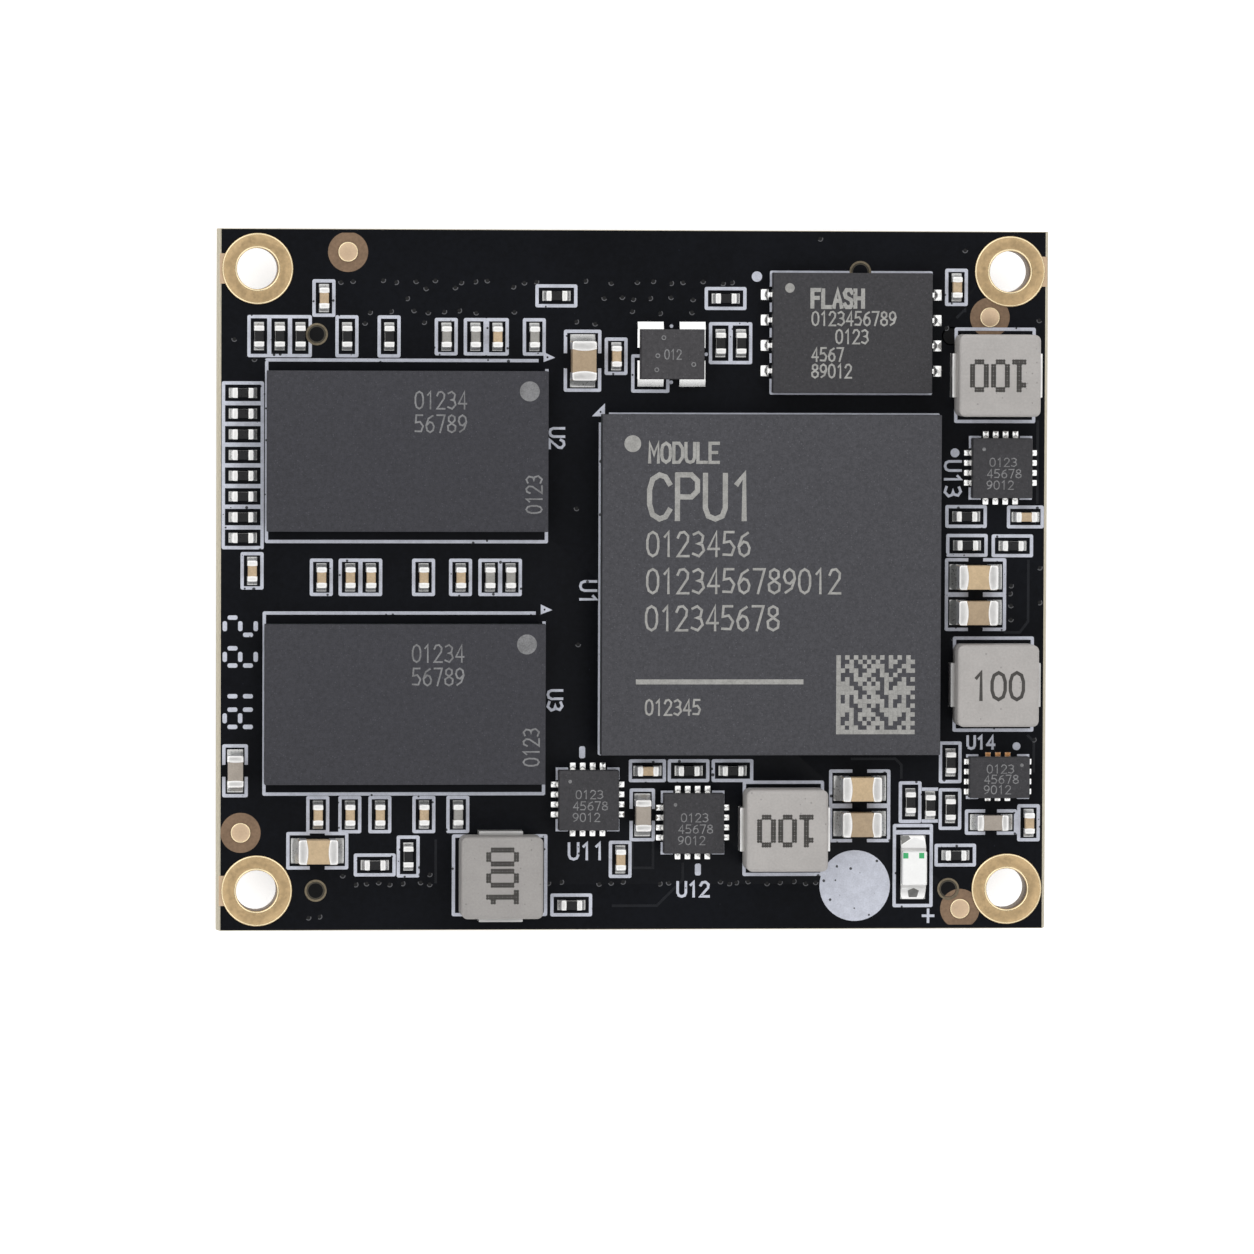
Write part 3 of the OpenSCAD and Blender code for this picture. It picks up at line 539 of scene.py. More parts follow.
def surface(name, colour, blotches, grain, specks=None, **sockets):
    """A finish with blotches and grain, and with specks on some.

    Blotches are the spread of the colour and two scales. Grain is a scale, the two ends of the roughness
    and a depth. Specks are a factor on the colour, a scale and a size.
    """
    made = Finish(name, **sockets)
    under = made.mottle(colour, *blotches)
    made.grain(*grain)
    if specks:
        factor, scale, size = specks
        made.specks(under, shade(colour, factor), scale, size)
    return made


def tin(name, colour, metallic):
    """Matt tin on end terminals."""
    return surface(name, colour, (0.04, 2500.0, 14000.0), (6000.0, 0.3, 0.42, 0.03), Metallic=metallic)


def moulding(name, colour):
    """Epoxy moulding compound: fine grain with lighter filler specks."""
    return surface(name, colour, (0.24, 6000.0, 16000.0), (7000.0, 0.5, 0.72, 0.4), (1.7, 9000.0, 0.3),
                   Specular_IOR_Level=0.35)


def ceramic(name, colour, spread=0.1):
    """Fired ceramic, faintly mottled and satin."""
    return surface(name, colour, (spread, 2200.0, 12000.0), (9000.0, 0.32, 0.48, 0.2),
                   Specular_IOR_Level=0.45)


def powder(name, colour):
    """Pressed metal powder, warm grey with darker grains."""
    return surface(name, colour, (0.08, 600.0, 9000.0), (5000.0, 0.5, 0.7, 0.5), (0.7, 4000.0, 0.2),
                   Specular_IOR_Level=0.4)


def plain(name, colour, low, high, spread=0.08):
    """A small printed or moulded detail."""
    return surface(name, colour, (spread, 1800.0, 12000.0), (9000.0, low, high, 0.2), Specular_IOR_Level=0.35)


def metal(name, colour, low, high, metallic=1.0):
    """A small bright metal detail."""
    return surface(name, colour, (0.05, 1500.0, 12000.0), (8000.0, low, high, 0.1), Metallic=metallic)


def laminate(name, colour):
    """Cut glass-epoxy, with the layers of cloth showing as bands."""
    made = Finish(name, Specular_IOR_Level=0.35)
    wave = made.tree.nodes.new("ShaderNodeTexWave")
    wave.bands_direction = "Z"
    for key, value in (("Scale", 1600.0), ("Distortion", 3.0), ("Detail Scale", 3.0)):
        wave.inputs[key].default_value = value
    coords = made.tree.nodes.new("ShaderNodeTexCoord")
    made.tree.links.new(coords.outputs["Object"], wave.inputs["Vector"])
    bands = mix_colour(made.tree, wave.outputs["Fac"], shade(colour, 0.8), shade(colour, 1.12))
    made.link(bands, "Base Color")
    made.grain(4000.0, 0.55, 0.8, 0.5)
    return made


def table_top(name):
    """Pale table with a soft glow of its own, as a light table has."""
    made = plain(name, stage_values().floor, 0.6, 0.75, 0.004)
    made.bsdf.inputs["Emission Color"].default_value = (1, 1, 1, 1)
    made.bsdf.inputs["Emission Strength"].default_value = stage_values().glow
    return made


# How each finish is made from the module's colours
FINISHES = {
    # Semi-gloss mask with a faint weave and a little dust, and a lighter one where copper lies under it
    "mask": lambda hues: surface("solder_mask", hues.mask, (0.3, 180.0, 4000.0), (5000.0, 0.36, 0.5, 0.12),
                                 (5.0, 1800.0, 0.05), Specular_IOR_Level=0.1),
    "raised_mask": lambda hues: surface("mask_over_copper", shade(hues.mask, 1.7), (0.25, 300.0, 5000.0),
                                        (5000.0, 0.32, 0.44, 0.1), Specular_IOR_Level=0.3),
    # Painted shade: a via's middle is a near-black disc standing for the shade in its dimple
    "via_hole": lambda hues: plain("via_hole", hues.via_hole, 0.4, 0.6),
    "via_rim": lambda hues: plain("via_rim", hues.via_rim, 0.4, 0.6),
    "laminate": lambda hues: laminate("laminate_edge", hues.laminate),
    "opening": lambda hues: surface("bare_laminate", hues.opening, (0.18, 900.0, 7000.0),
                                    (6000.0, 0.45, 0.65, 0.2), Specular_IOR_Level=0.3),
    # Thin plate with fine marks from handling, and plate under a film of mask
    "gold": lambda hues: surface("gold_plate", hues.gold, (0.12, 700.0, 5000.0), (7000.0, 0.3, 0.5, 0.25),
                                 Metallic=1.0),
    "dull": lambda hues: surface("dull_plate", hues.dull, (0.25, 1200.0, 9000.0), (7000.0, 0.4, 0.6, 0.25),
                                 Metallic=0.5),
    "pale_gold": lambda hues: metal("pale_gold", hues.pale_gold, 0.4, 0.55),
    # Painted shade round the inside of a locating hole
    "hole_rim": lambda hues: metal("hole_rim", hues.hole_rim, 0.4, 0.55, 0.5),
    # Painted shade: the bore's plating is painted dark brown, as the hole's wall in shadow
    "barrel": lambda hues: metal("barrel_plate", hues.barrel, 0.4, 0.55),
    # Painted highlight: a lighter gold on the rounded lips of the rings and dots
    "lip": lambda hues: metal("lip_highlight", hues.lip, 0.22, 0.34),
    # Legend ink, thinner in places
    "ink": lambda hues: surface("legend_ink", hues.ink, (0.12, 2500.0, 14000.0), (9000.0, 0.5, 0.7, 0.3),
                                (0.1, 3000.0, 0.26), Specular_IOR_Level=0.3),
    # Reflowed solder with a faint frosted grain
    "solder": lambda hues: surface("solder", hues.solder, (0.04, 2000.0, 12000.0),
                                   (2500.0, 0.16, 0.26, 0.02), Metallic=1.0),
    "bead": lambda hues: surface("bead_solder", hues.bead, (0.04, 2500.0, 12000.0),
                                 (5000.0, 0.22, 0.34, 0.03), Metallic=1.0),
    # Painted shade: fillet solder is greyer than the lands' solder, for the dark that its hollow mirrors
    "fillet": lambda hues: metal("fillet_solder", hues.fillet, 0.24, 0.36, 0.7),
    "bare_copper": lambda hues: metal("bare_copper", hues.bare_copper, 0.3, 0.45, 0.8),
    "tin": lambda hues: tin("tin", hues.tin, 1.0),
    # Painted highlight: tin made half diffuse and near-white so small ends look as bright as where they catch
    # the lights
    "bright_tin": lambda hues: tin("bright_tin", hues.bright_tin, 0.55),
    # Painted shade: a darker copy of the tin for end strips that look grey in the light
    "dull_tin": lambda hues: tin("dull_tin", shade(hues.tin, 0.62), 0.6),
    "processor": lambda hues: moulding("processor_moulding", hues.processor),
    "memory": lambda hues: moulding("memory_moulding", hues.memory),
    "small_package": lambda hues: moulding("small_package_moulding", hues.package),
    "lid": lambda hues: moulding("oscillator_lid", hues.lid),
    "substrate": lambda hues: plain("substrate", hues.substrate, 0.35, 0.55),
    "laser": lambda hues: plain("laser_mark", hues.laser, 0.6, 0.8, 0.2),
    "faint_laser": lambda hues: plain("faint_laser_mark", hues.faint_laser, 0.6, 0.8, 0.3),
    "brown_ceramic": lambda hues: ceramic("brown_ceramic", hues.brown_ceramic),
    "warm_ceramic": lambda hues: ceramic("warm_ceramic", hues.warm_ceramic),
    "dusky_ceramic": lambda hues: ceramic("dusky_ceramic", hues.dusky_ceramic),
    "tan_ceramic": lambda hues: ceramic("tan_ceramic", hues.tan_ceramic, 0.16),
    "grey_ceramic": lambda hues: ceramic("grey_ceramic", hues.grey_ceramic, 0.16),
    "alumina": lambda hues: ceramic("alumina", hues.alumina, 0.05),
    "inductor": lambda hues: powder("pressed_powder", hues.inductor),
    "dark_inductor": lambda hues: powder("dark_powder", shade(hues.inductor, 0.8)),
    "print": lambda hues: plain("value_print", hues.value_print, 0.5, 0.7, 0.2),
    # Black glass coat of a resistor
    "coat": lambda hues: surface("black_coat", hues.coat, (0.25, 1500.0, 9000.0), (8000.0, 0.25, 0.4, 0.15),
                                 Specular_IOR_Level=0.45),
    # Milky epoxy of the indicator light
    "lens": lambda hues: surface("milky_lens", hues.lens, (0.03, 1500.0, 9000.0), (6000.0, 0.12, 0.22, 0.05),
                                 IOR=1.5),
    "lamp_base": lambda hues: plain("lamp_base", hues.lamp_base, 0.4, 0.6),
    "lamp_green": lambda hues: plain("lamp_green", hues.lamp_green, 0.3, 0.5),
    # Painted shade on the indicator's solder
    "recess": lambda hues: metal("lamp_solder_shade", hues.recess, 0.3, 0.45),
    # Glass-filled nylon with flow marks
    "nylon": lambda hues: surface("black_nylon", hues.nylon, (0.25, 250.0, 6000.0),
                                  (3500.0, 0.42, 0.62, 0.35), Specular_IOR_Level=0.15),
    "floor": lambda hues: table_top("pale_floor"),
}


def colour_property(label, text, value):
    return bpy.props.FloatVectorProperty(name=label, description=text, default=value, size=3, subtype="COLOR",
                                         min=0.0, max=1.0)


def length_property(label, text, value):
    return bpy.props.FloatProperty(name=label, description=text, default=value, min=0.0, precision=3)


class ModuleColours(bpy.types.PropertyGroup):
    """Colours of the module's finishes."""

    mask: colour_property("Mask", "Black solder mask", (0.0038, 0.0044, 0.0064))
    laminate: colour_property("Laminate", "Cut edge of the board", (0.52, 0.47, 0.36))
    opening: colour_property("Opening", "Bare laminate round a fiducial", (0.212, 0.137, 0.085))
    gold: colour_property("Gold", "Mounting rings and contacts", (0.66, 0.475, 0.26))
    dull: colour_property("Dull ring", "Rings of the locating holes", (0.20, 0.165, 0.11))
    hole_rim: colour_property("Hole rim", "Shaded rim inside a locating hole", (0.075, 0.066, 0.05))
    ink: colour_property("Ink", "Printed legend", (0.56, 0.58, 0.655))
    solder: colour_property("Solder", "Lands and balls", (0.88, 0.88, 0.87))
    # Painted shade: solder made greyer on the fillets
    fillet: colour_property("Fillet", "Hollow runs at chip ends", (0.60, 0.60, 0.59))
    bead: colour_property("Bead", "Beads on the lands of leadless packages", (0.98, 0.98, 0.97))
    bare_copper: colour_property("Bare copper", "Land ends without solder", (0.58, 0.30, 0.13))
    tin: colour_property("Tin", "Large end terminals", (0.92, 0.91, 0.895))
    # Painted highlight: near-white tin for the bright ends of small chips
    bright_tin: colour_property("Bright tin", "End terminals of small chips", (0.98, 0.975, 0.96))
    processor: colour_property("Processor", "Moulding of the processor", (0.056, 0.056, 0.064))
    memory: colour_property("Memory", "Moulding of the memories", (0.039, 0.039, 0.047))
    package: colour_property("Small packages", "Moulding of flash and regulators", (0.039, 0.038, 0.042))
    substrate: colour_property("Substrate", "Laminate under the mouldings", (0.020, 0.032, 0.026))
    lid: colour_property("Lid", "Oscillator lid and case", (0.052, 0.050, 0.054))
    brown_ceramic: colour_property("Brown ceramic", "Large capacitors", (0.40, 0.30, 0.195))
    warm_ceramic: colour_property("Warm ceramic", "Large capacitors of the warmer batch", (0.55, 0.41, 0.25))
    dusky_ceramic: colour_property("Dusky ceramic", "Middle capacitors", (0.36, 0.315, 0.27))
    tan_ceramic: colour_property("Tan ceramic", "Small capacitors", (0.50, 0.375, 0.24))
    grey_ceramic: colour_property("Grey ceramic", "Small grey capacitors", (0.30, 0.29, 0.27))
    alumina: colour_property("Alumina", "Resistor bases", (0.72, 0.71, 0.68))
    inductor: colour_property("Inductor", "Pressed powder", (0.425, 0.405, 0.39))
    coat: colour_property("Coat", "Black coat of the resistors", (0.010, 0.010, 0.011))
    lens: colour_property("Lens", "Indicator lens and glints", (0.93, 0.93, 0.92))
    lamp_base: colour_property("Lamp base", "Indicator base", (0.80, 0.80, 0.78))
    lamp_green: colour_property("Lamp green", "Marks on the indicator", (0.06, 0.42, 0.16))
    nylon: colour_property("Nylon", "Connector housings", (0.003, 0.003, 0.0035))
    laser: colour_property("Laser mark", "Marks on the processor and flash", (0.34, 0.335, 0.32))
    faint_laser: colour_property("Faint mark", "Marks on the other packages", (0.20, 0.20, 0.205))
    # Painted shade: near-black for the shade in the dip of a covered via
    via_hole: colour_property("Via hole", "Sunk middle of a covered via", (0.002, 0.002, 0.0025))
    via_rim: colour_property("Via rim", "Lit side of a covered via", (0.1, 0.101, 0.108))
    # Painted shade: dark brown for the wall of a mounting hole in shadow
    barrel: colour_property("Barrel", "Plating inside the mounting holes", (0.16, 0.10, 0.05))
    pale_gold: colour_property("Pale gold", "Fiducial dots and ring tabs", (0.76, 0.57, 0.39))
    # Painted shade: dark facets on the indicator's solder
    recess: colour_property("Recess", "Dark facets of the indicator's solder", (0.22, 0.22, 0.21))
    # Painted highlight along the edges of the mounting rings and dots
    lip: colour_property("Lip", "Bright edges of the mounting rings and dots", (0.95, 0.80, 0.52))
    value_print: colour_property("Value print", "Figures on the inductors", (0.06, 0.056, 0.052))


class ModuleSizes(bpy.types.PropertyGroup):
    """Sizes of the fine pieces, in millimetres."""

    package_edge: length_property("Package edge", "Rounding of the mouldings' edges", 0.035)
    chip_edge: length_property("Chip edge", "Rounding of chip edges", 0.022)
    board_edge: length_property("Board edge", "Rounding of the board's edges", 0.03)
    mark_height: length_property("Mark height", "Height of laser marks and prints", 0.004)
    label_stroke: length_property("Label stroke", "Pen width of the board's labels", 0.13)
    via_diameter: length_property("Via diameter", "Outside of a covered via", 0.3)
    trace_width: length_property("Trace width", "Width of a covered trace", 0.13)
    relief: length_property("Relief", "Height of copper under the mask", 0.014)


class ModuleStage(bpy.types.PropertyGroup):
    """Camera, light and floor."""

    distance: bpy.props.FloatProperty(name="Distance", description="Camera height above the board",
                                      default=0.4, unit="LENGTH")
    frame_width: bpy.props.FloatProperty(name="Frame width", description="Width of the view at the board",
                                         default=0.0627, unit="LENGTH")
    foot: bpy.props.FloatVectorProperty(name="Foot", description="Point below the camera", size=2,
                                        default=(-0.036, 0.015), unit="LENGTH")
    target: bpy.props.FloatVectorProperty(name="Target", description="Board point at the view's centre",
                                          size=2, default=(-0.00035, -0.00233), unit="LENGTH")
    floor: colour_property("Floor", "Pale floor", (0.93, 0.93, 0.93))
    key: bpy.props.FloatProperty(name="Key", description="Strength of the side lights", default=0.12)
    sky: bpy.props.FloatProperty(name="Sky", description="Strength of the even light", default=0.8)
    zenith: bpy.props.FloatProperty(name="Zenith", description="Share of the even light from above",
                                    default=0.55)
    horizon: bpy.props.FloatProperty(name="Horizon", description="Share of the even light near the floor",
                                     default=0.12)
    ring: bpy.props.FloatProperty(name="Ring", description="Share of the even light half way up", default=1.3)
    glow: bpy.props.FloatProperty(name="Glow", description="Light that the table gives off", default=0.5)


# Legend strokes on a 4 by 6 grid


GLYPHS = {
    "0": [[(2, 0), (0.6, 0.6), (0, 2), (0, 4), (0.6, 5.4), (2, 6), (3.4, 5.4), (4, 4), (4, 2), (3.4, 0.6),
           (2, 0)]],
    "1": [[(0.8, 4.8), (2.2, 6), (2.2, 0)]],
    "2": [[(0, 4.6), (0.8, 5.8), (2.4, 6), (3.8, 5), (3.6, 3.6), (0, 0), (4, 0)]],
    "3": [[(0.2, 5.4), (2, 6), (3.7, 5), (3.2, 3.4), (1.6, 3.1), (3.4, 2.8), (4, 1.4), (2.2, 0), (0, 0.6)]],
    "4": [[(3, 0), (3, 6), (0, 1.8)], [(0, 1.8), (4, 1.8)]],
    "5": [[(3.7, 6), (0.5, 6), (0.2, 3.4), (2.4, 3.7), (4, 2.2), (3, 0.3), (0, 0.4)]],
    "6": [[(3.4, 5.8), (1.2, 4.8), (0, 2.4), (0.5, 0.7), (2, 0), (3.6, 0.7), (4, 2), (3.2, 3.3), (1.8, 3.6)],
          [(1.8, 3.6), (0.3, 2.5)]],
    "7": [[(0, 6), (4, 6), (1.6, 0)]],
    "8": [[(2, 3.2), (0.4, 4.1), (0.5, 5.4), (2, 6), (3.5, 5.4), (3.6, 4.1), (2, 3.2)],
          [(2, 3.1), (0, 2.2), (0.2, 0.7), (2, 0), (3.8, 0.7), (4, 2.2), (2, 3.1)]],
    "9": [[(0.6, 0.2), (2.8, 1.2), (4, 3.6), (3.5, 5.3), (2, 6), (0.4, 5.3), (0, 4), (0.8, 2.7), (2.2, 2.4)],
          [(2.2, 2.4), (3.7, 3.5)]],
    "A": [[(0, 0), (2, 6), (4, 0)], [(0.8, 2.2), (3.2, 2.2)]],
    "C": [[(4, 4.8), (3.2, 5.7), (2, 6), (0.6, 5.4), (0, 4), (0, 2), (0.6, 0.6), (2, 0), (3.2, 0.3),
           (4, 1.2)]],
    "D": [[(0, 0), (0, 6), (2.4, 6), (4, 4.4), (4, 1.6), (2.4, 0), (0, 0)]],
    "E": [[(4, 6), (0, 6), (0, 0), (4, 0)], [(0, 3.1), (3.2, 3.1)]],
    "F": [[(0, 0), (0, 6), (4, 6)], [(0, 3.2), (3, 3.2)]],
    "H": [[(0, 0), (0, 6)], [(4, 0), (4, 6)], [(0, 3.1), (4, 3.1)]],
    "L": [[(0, 6), (0, 0), (4, 0)]],
    "M": [[(0, 0), (0, 6), (2, 2.4), (4, 6), (4, 0)]],
    "O": [[(2, 0), (0.5, 0.7), (0, 2), (0, 4), (0.5, 5.3), (2, 6), (3.5, 5.3), (4, 4), (4, 2), (3.5, 0.7),
           (2, 0)]],
    "P": [[(0, 0), (0, 6)], [(0, 6), (2.8, 6), (4, 5.2), (4, 3.8), (2.8, 3), (0, 3)]],
    "S": [[(4, 5), (3, 6), (1, 6), (0, 4.9), (0.6, 3.5), (3.4, 2.5), (4, 1.2), (3, 0), (1, 0), (0, 1)]],
    "U": [[(0, 6), (0, 1.5), (0.6, 0.4), (2, 0), (3.4, 0.4), (4, 1.5), (4, 6)]],
    "+": [[(2, 0.8), (2, 5.2)], [(-0.2, 3), (4.2, 3)]],
}
SIGN_WIDTH = 4.0
SIGN_HEIGHT = 6.0
SIGN_STEP = 5.6


def label_length(text, height, squeeze=1.0):
    """Length of a word of pen strokes."""
    return (SIGN_STEP * (len(text) - 1) + SIGN_WIDTH) * squeeze * height / SIGN_HEIGHT


def add_label(bm, text, x, y, height, turn, pen, low, high, squeeze=1.0):
    """A word of pen strokes, centred on a point, turned by some degrees and made narrow by a factor."""
    unit = height / SIGN_HEIGHT
    spin = Matrix.Rotation(math.radians(turn), 2)
    start = -label_length(text, height, squeeze) / 2
    for index, letter in enumerate(text):
        for order, line in enumerate(GLYPHS[letter]):
            points = []
            for gx, gy in line:
                local = spin @ Vector((start + (index * SIGN_STEP + gx) * unit * squeeze,
                                       gy * unit - height / 2))
                points.append((x + local.x, y + local.y))
            # A later stroke of a sign lies a little higher, where it crosses an earlier one
            add_stroke(bm, points, pen, low, high + 0.1 * order * (high - low))


# Operators

REGULATORS = tuple(f"regulator_{i}" for i in range(1, 5))
# How far outside its package the middle of a land may lie
LAND_REACH = 0.7
# Angle up to which solder looks round, in degrees
ROUND_SOLDER = 60


def rounded_piece(node, name, look, slot, width, segments=2):
    """A copy of a CAD node with rounded edges, in the node's place."""
    make_piece(name, softened(node, width, segments), look, slot, [node])


class ModuleOperator(bpy.types.Operator):
    """Shared base of the dressing steps."""

    bl_options = {"REGISTER", "UNDO"}


class MODULE_OT_board(ModuleOperator):
    """Board with mask on its faces and bare laminate on its cut edges."""

    bl_idname = "module.board"
    bl_label = "Board"

    # Cut faces nearer than this to the board's outline show laminate
    edge_zone = 0.4
    # Least upright share of the normal of a face with mask
    flat = 0.9

    def execute(self, context):
        bm = softened("circuit_board", sizes().board_edge, 1)
        bm.normal_update()
        for face in bm.faces:
            middle = face.calc_center_median()
            inside = max(abs(middle.x) - EDGE_X, abs(middle.y) - EDGE_Y) < -self.edge_zone
            face.material_index = 0 if inside or abs(face.normal.z) > self.flat else 1
        make_piece("board", bm, ("mask", "laminate"), "solder_mask", ["circuit_board"])
        return {"FINISHED"}


class MODULE_OT_relief(ModuleOperator):
    """Covered vias and traces that show through the mask."""

    bl_idname = "module.relief"
    bl_label = "Covered copper"

    # Vias of each row on the parts side: y, and the x of each
    via_rows = (
        (14.9, (-14.7, -14.1, -12.6, -11.95, -10.95, -10.0, -8.7, -8.0, -7.4, -5.55, -4.95, -2.5, -1.2, 0.1,
                0.9, 1.8, 2.4, 3.4, 4.4, 4.85)),
        (14.6, (-10.45, -9.0, -6.1)),
        (14.1, (-11.4, -1.55, -0.65, -0.1, 0.75, 1.8, 2.9)),
        (13.4, (-13.25, -12.2, -11.05, -10.35, -9.55, -8.8, -7.95, -6.05, -0.15, 1.25, 2.85)),
        (12.87, (-13.5, -10.55, -2.95, -2.0)),
        (-14.7, (-14.55, -10.2)),
        (-15.15, (-13.9, -13.35, -12.75, -12.2, -11.55, -10.65, -10.2, -4.25, -3.6, -1.7, -1.1, -0.5, 1.35,
                  1.8, 4.4, 4.85, 5.2, 5.8, 6.75, 7.4, 8.1, 8.7, 9.2)),
        (-16.8, (-16.25, -15.7)),
    )
    # How far a via may stand off its row
    stagger = 0.05
    lone_vias = ((20.35, 13.06), (16.58, 16.55), (9.28, 17.1), (15.65, 12.66), (-2.9, 3.6), (-2.8, -3.2),
                 (16.1, -2.9), (20.2, -8.0), (-20.0, 12.0), (-19.0, 11.0), (19.0, -0.25), (18.95, -0.65),
                 (19.0, -1.25), (19.0, -1.95), (20.45, 0.65), (20.45, -1.1))
    traces = (
        ((-1.0, -16.3), (1.2, -16.3), (2.5, -15.0), (2.5, -14.2)),
        ((19.9, -7.8), (20.2, -8.1), (20.2, -9.6)),
        ((16.2, 13.2), (16.6, 13.6), (16.6, 13.5)),
        ((20.3, 3.9), (20.3, 8.0)),
        ((19.87, 1.0), (19.87, -2.05), (19.45, -2.6), (18.7, -2.6)),
        ((-9.9, -13.0), (-9.9, -15.1)),
        ((11.0, -8.95), (13.2, -8.95), (13.5, -9.25), (13.5, -9.9)),
        ((-0.05, -13.1), (-0.05, -14.4), (1.0, -14.4), (1.0, -13.0)),
    )
    # Radius of a via's middle, radius of its lit arc and width of that arc, as shares of the via's radius
    middle_share, arc_share, arc_pen = 0.62, 0.8, 0.3
    # Height of a via's middle
    middle_rise = 0.002
    # Start of the lit arc and its shift from one via to the next, in degrees, and its steps in radians
    arc_start, arc_shift = 170, 25
    arc_steps = tuple(0.35 * k for k in range(9))

    def execute(self, context):
        high = TOP + sizes().relief
        bm = bmesh.new()
        for line in self.traces:
            add_stroke(bm, line, sizes().trace_width, TOP, (TOP + high) / 2)
        make_piece("covered_copper", bm, "raised_mask", "solder_mask")
        places = list(self.lone_vias)
        for y, row in self.via_rows:
            places += [(x, y + self.stagger * (i * 7 % 3 - 1)) for i, x in enumerate(row)]
        radius = sizes().via_diameter / 2
        run = radius * self.arc_share
        middles, rims = bmesh.new(), bmesh.new()
        for i, (x, y) in enumerate(places):
            # The middle is a flat disc painted near-black as the shade in the via's dimple
            add_disc(middles, x, y, radius * self.middle_share, TOP, TOP + self.middle_rise, 16)
            # The lit side of the rim is an arc below the middle
            start = math.radians(self.arc_start + self.arc_shift * (i * 5 % 4))
            arc = [(x + run * math.cos(start + step), y + run * math.sin(start + step))
                   for step in self.arc_steps]
            add_stroke(rims, arc, radius * self.arc_pen, TOP, high)
        make_piece("via_middles", middles, "via_hole", "solder_mask")
        make_piece("via_rims", rims, "via_rim", "solder_mask")
        return {"FINISHED"}


class MODULE_OT_plating(ModuleOperator):
    """Mounting rings, fiducials in their openings and the rings of the locating holes."""

    bl_idname = "module.plating"
    bl_label = "Plating"

    # Rounding of the plate's edges
    plate_edge = 0.02
    # Least upright share of the normal of a face that shows gold, not the bore's plating, which is painted
    # dark brown as the shade inside the hole
    flat = 0.3
    # Lips, in a lighter gold as a painted highlight: where they start from a circle, their width and their
    # height
    bore_lip = (0.03, 0.08, 0.03)
    ring_lip = (-0.07, 0.06, 0.015)
    dot_lip = (-0.05, 0.045, 0.012)
    # The rim in a locating hole, painted dark as the shade inside the hole: its inside, its height and its
    # distance from the ring's outside
    rim_radius, rim_rise, rim_margin = 0.37, 0.006, 0.1
    opening_radius = 1.0
    # Least distances of an opening from the board's short and long edges
    opening_margin = (0.05, 0.2)
    # Tabs: half their length, their start as a share of the ring's diameter, and their distance from the edge
    tab_half, tab_start, tab_margin = 0.75, 0.45, 0.12

    def execute(self, context):
        bm = softened("mounting_rings", self.plate_edge)
        bm.normal_update()
        for face in bm.faces:
            face.material_index = 0 if abs(face.normal.z) > self.flat else 1
        make_piece("mounting_ring_plate", bm, ("gold", "barrel"), "gold_plating", ["mounting_rings"])
        rounded_piece("fiducial_dots", "fiducial_dot_plate", "pale_gold", "gold_plating", self.plate_edge)
        paint("locating_rings", "dull")
        rings, dots = islands("mounting_rings"), islands("fiducial_dots")
        self.lips(rings, dots)
        self.openings(dots)
        self.tabs(rings)
        return {"FINISHED"}

    def lip(self, bm, middle, radius, base, offset, width, rise):
        """A low round bead that runs round a circle, from an offset to its radius out by a width."""
        inner, foot = radius + offset, base - 0.01
        add_turned(bm, middle.x, middle.y,
                   [(inner, foot), (inner, base + rise / 2), (inner + width * 0.4, base + rise),
                    (inner + width * 0.75, base + rise / 2), (inner + width, foot)], 64)

    def lips(self, rings, dots):
        """Lips of the mounting rings and dots in a lighter gold as a painted highlight, and rims in the
        locating holes painted dark as shade.
        """
        corners = node_bmesh("mounting_rings")
        bm = bmesh.new()
        for low, high in rings:
            middle = (low + high) / 2
            bore = min((v.co.xy - middle.xy).length for v in corners.verts)
            self.lip(bm, middle, bore, high.z, *self.bore_lip)
            self.lip(bm, middle, (high.y - low.y) / 2, high.z, *self.ring_lip)
        corners.free()
        for low, high in dots:
            self.lip(bm, (low + high) / 2, (high.x - low.x) / 2, high.z, *self.dot_lip)
        make_piece("mounting_ring_lip_highlights", bm, "lip", "gold_plating")
        bm = bmesh.new()
        for low, high in islands("locating_rings"):
            width = (high.x - low.x) / 2 - self.rim_radius - self.rim_margin
            self.lip(bm, (low + high) / 2, self.rim_radius, TOP, 0.0, width, self.rim_rise)
        make_piece("locating_hole_rims", bm, "hole_rim", "dull_plating")

    def openings(self, dots):
        """Round openings in the mask about the fiducials, cut off near the board's edges."""
        reach_x, reach_y = EDGE_X - self.opening_margin[0], EDGE_Y - self.opening_margin[1]
        bm = bmesh.new()
        for low, high in dots:
            middle = (low + high) / 2
            outline = [(min(max(x, -reach_x), reach_x), min(max(y, -reach_y), reach_y))
                       for x, y in circle_points(middle.x, middle.y, self.opening_radius, 64)]
            add_prism(bm, outline, TOP, TOP + FILM)
        make_piece("mask_openings", bm, "opening", "dull_plating")

    def tabs(self, rings):
        """Bare plate from the mounting rings out to the board's edge."""
        bm = bmesh.new()
        for low, high in rings:
            middle = (low + high) / 2
            if middle.x > 0 > middle.y:
                # This ring stands clear of the board's edge
                continue
            side = math.copysign(1, middle.x)
            inner = middle.x + side * (high.x - low.x) * self.tab_start
            outer = side * (EDGE_X - self.tab_margin)
            add_box(bm, (min(inner, outer), middle.y - self.tab_half, TOP),
                    (max(inner, outer), middle.y + self.tab_half, TOP + FILM))
        make_piece("ring_tabs", bm, "pale_gold", "gold_plating")


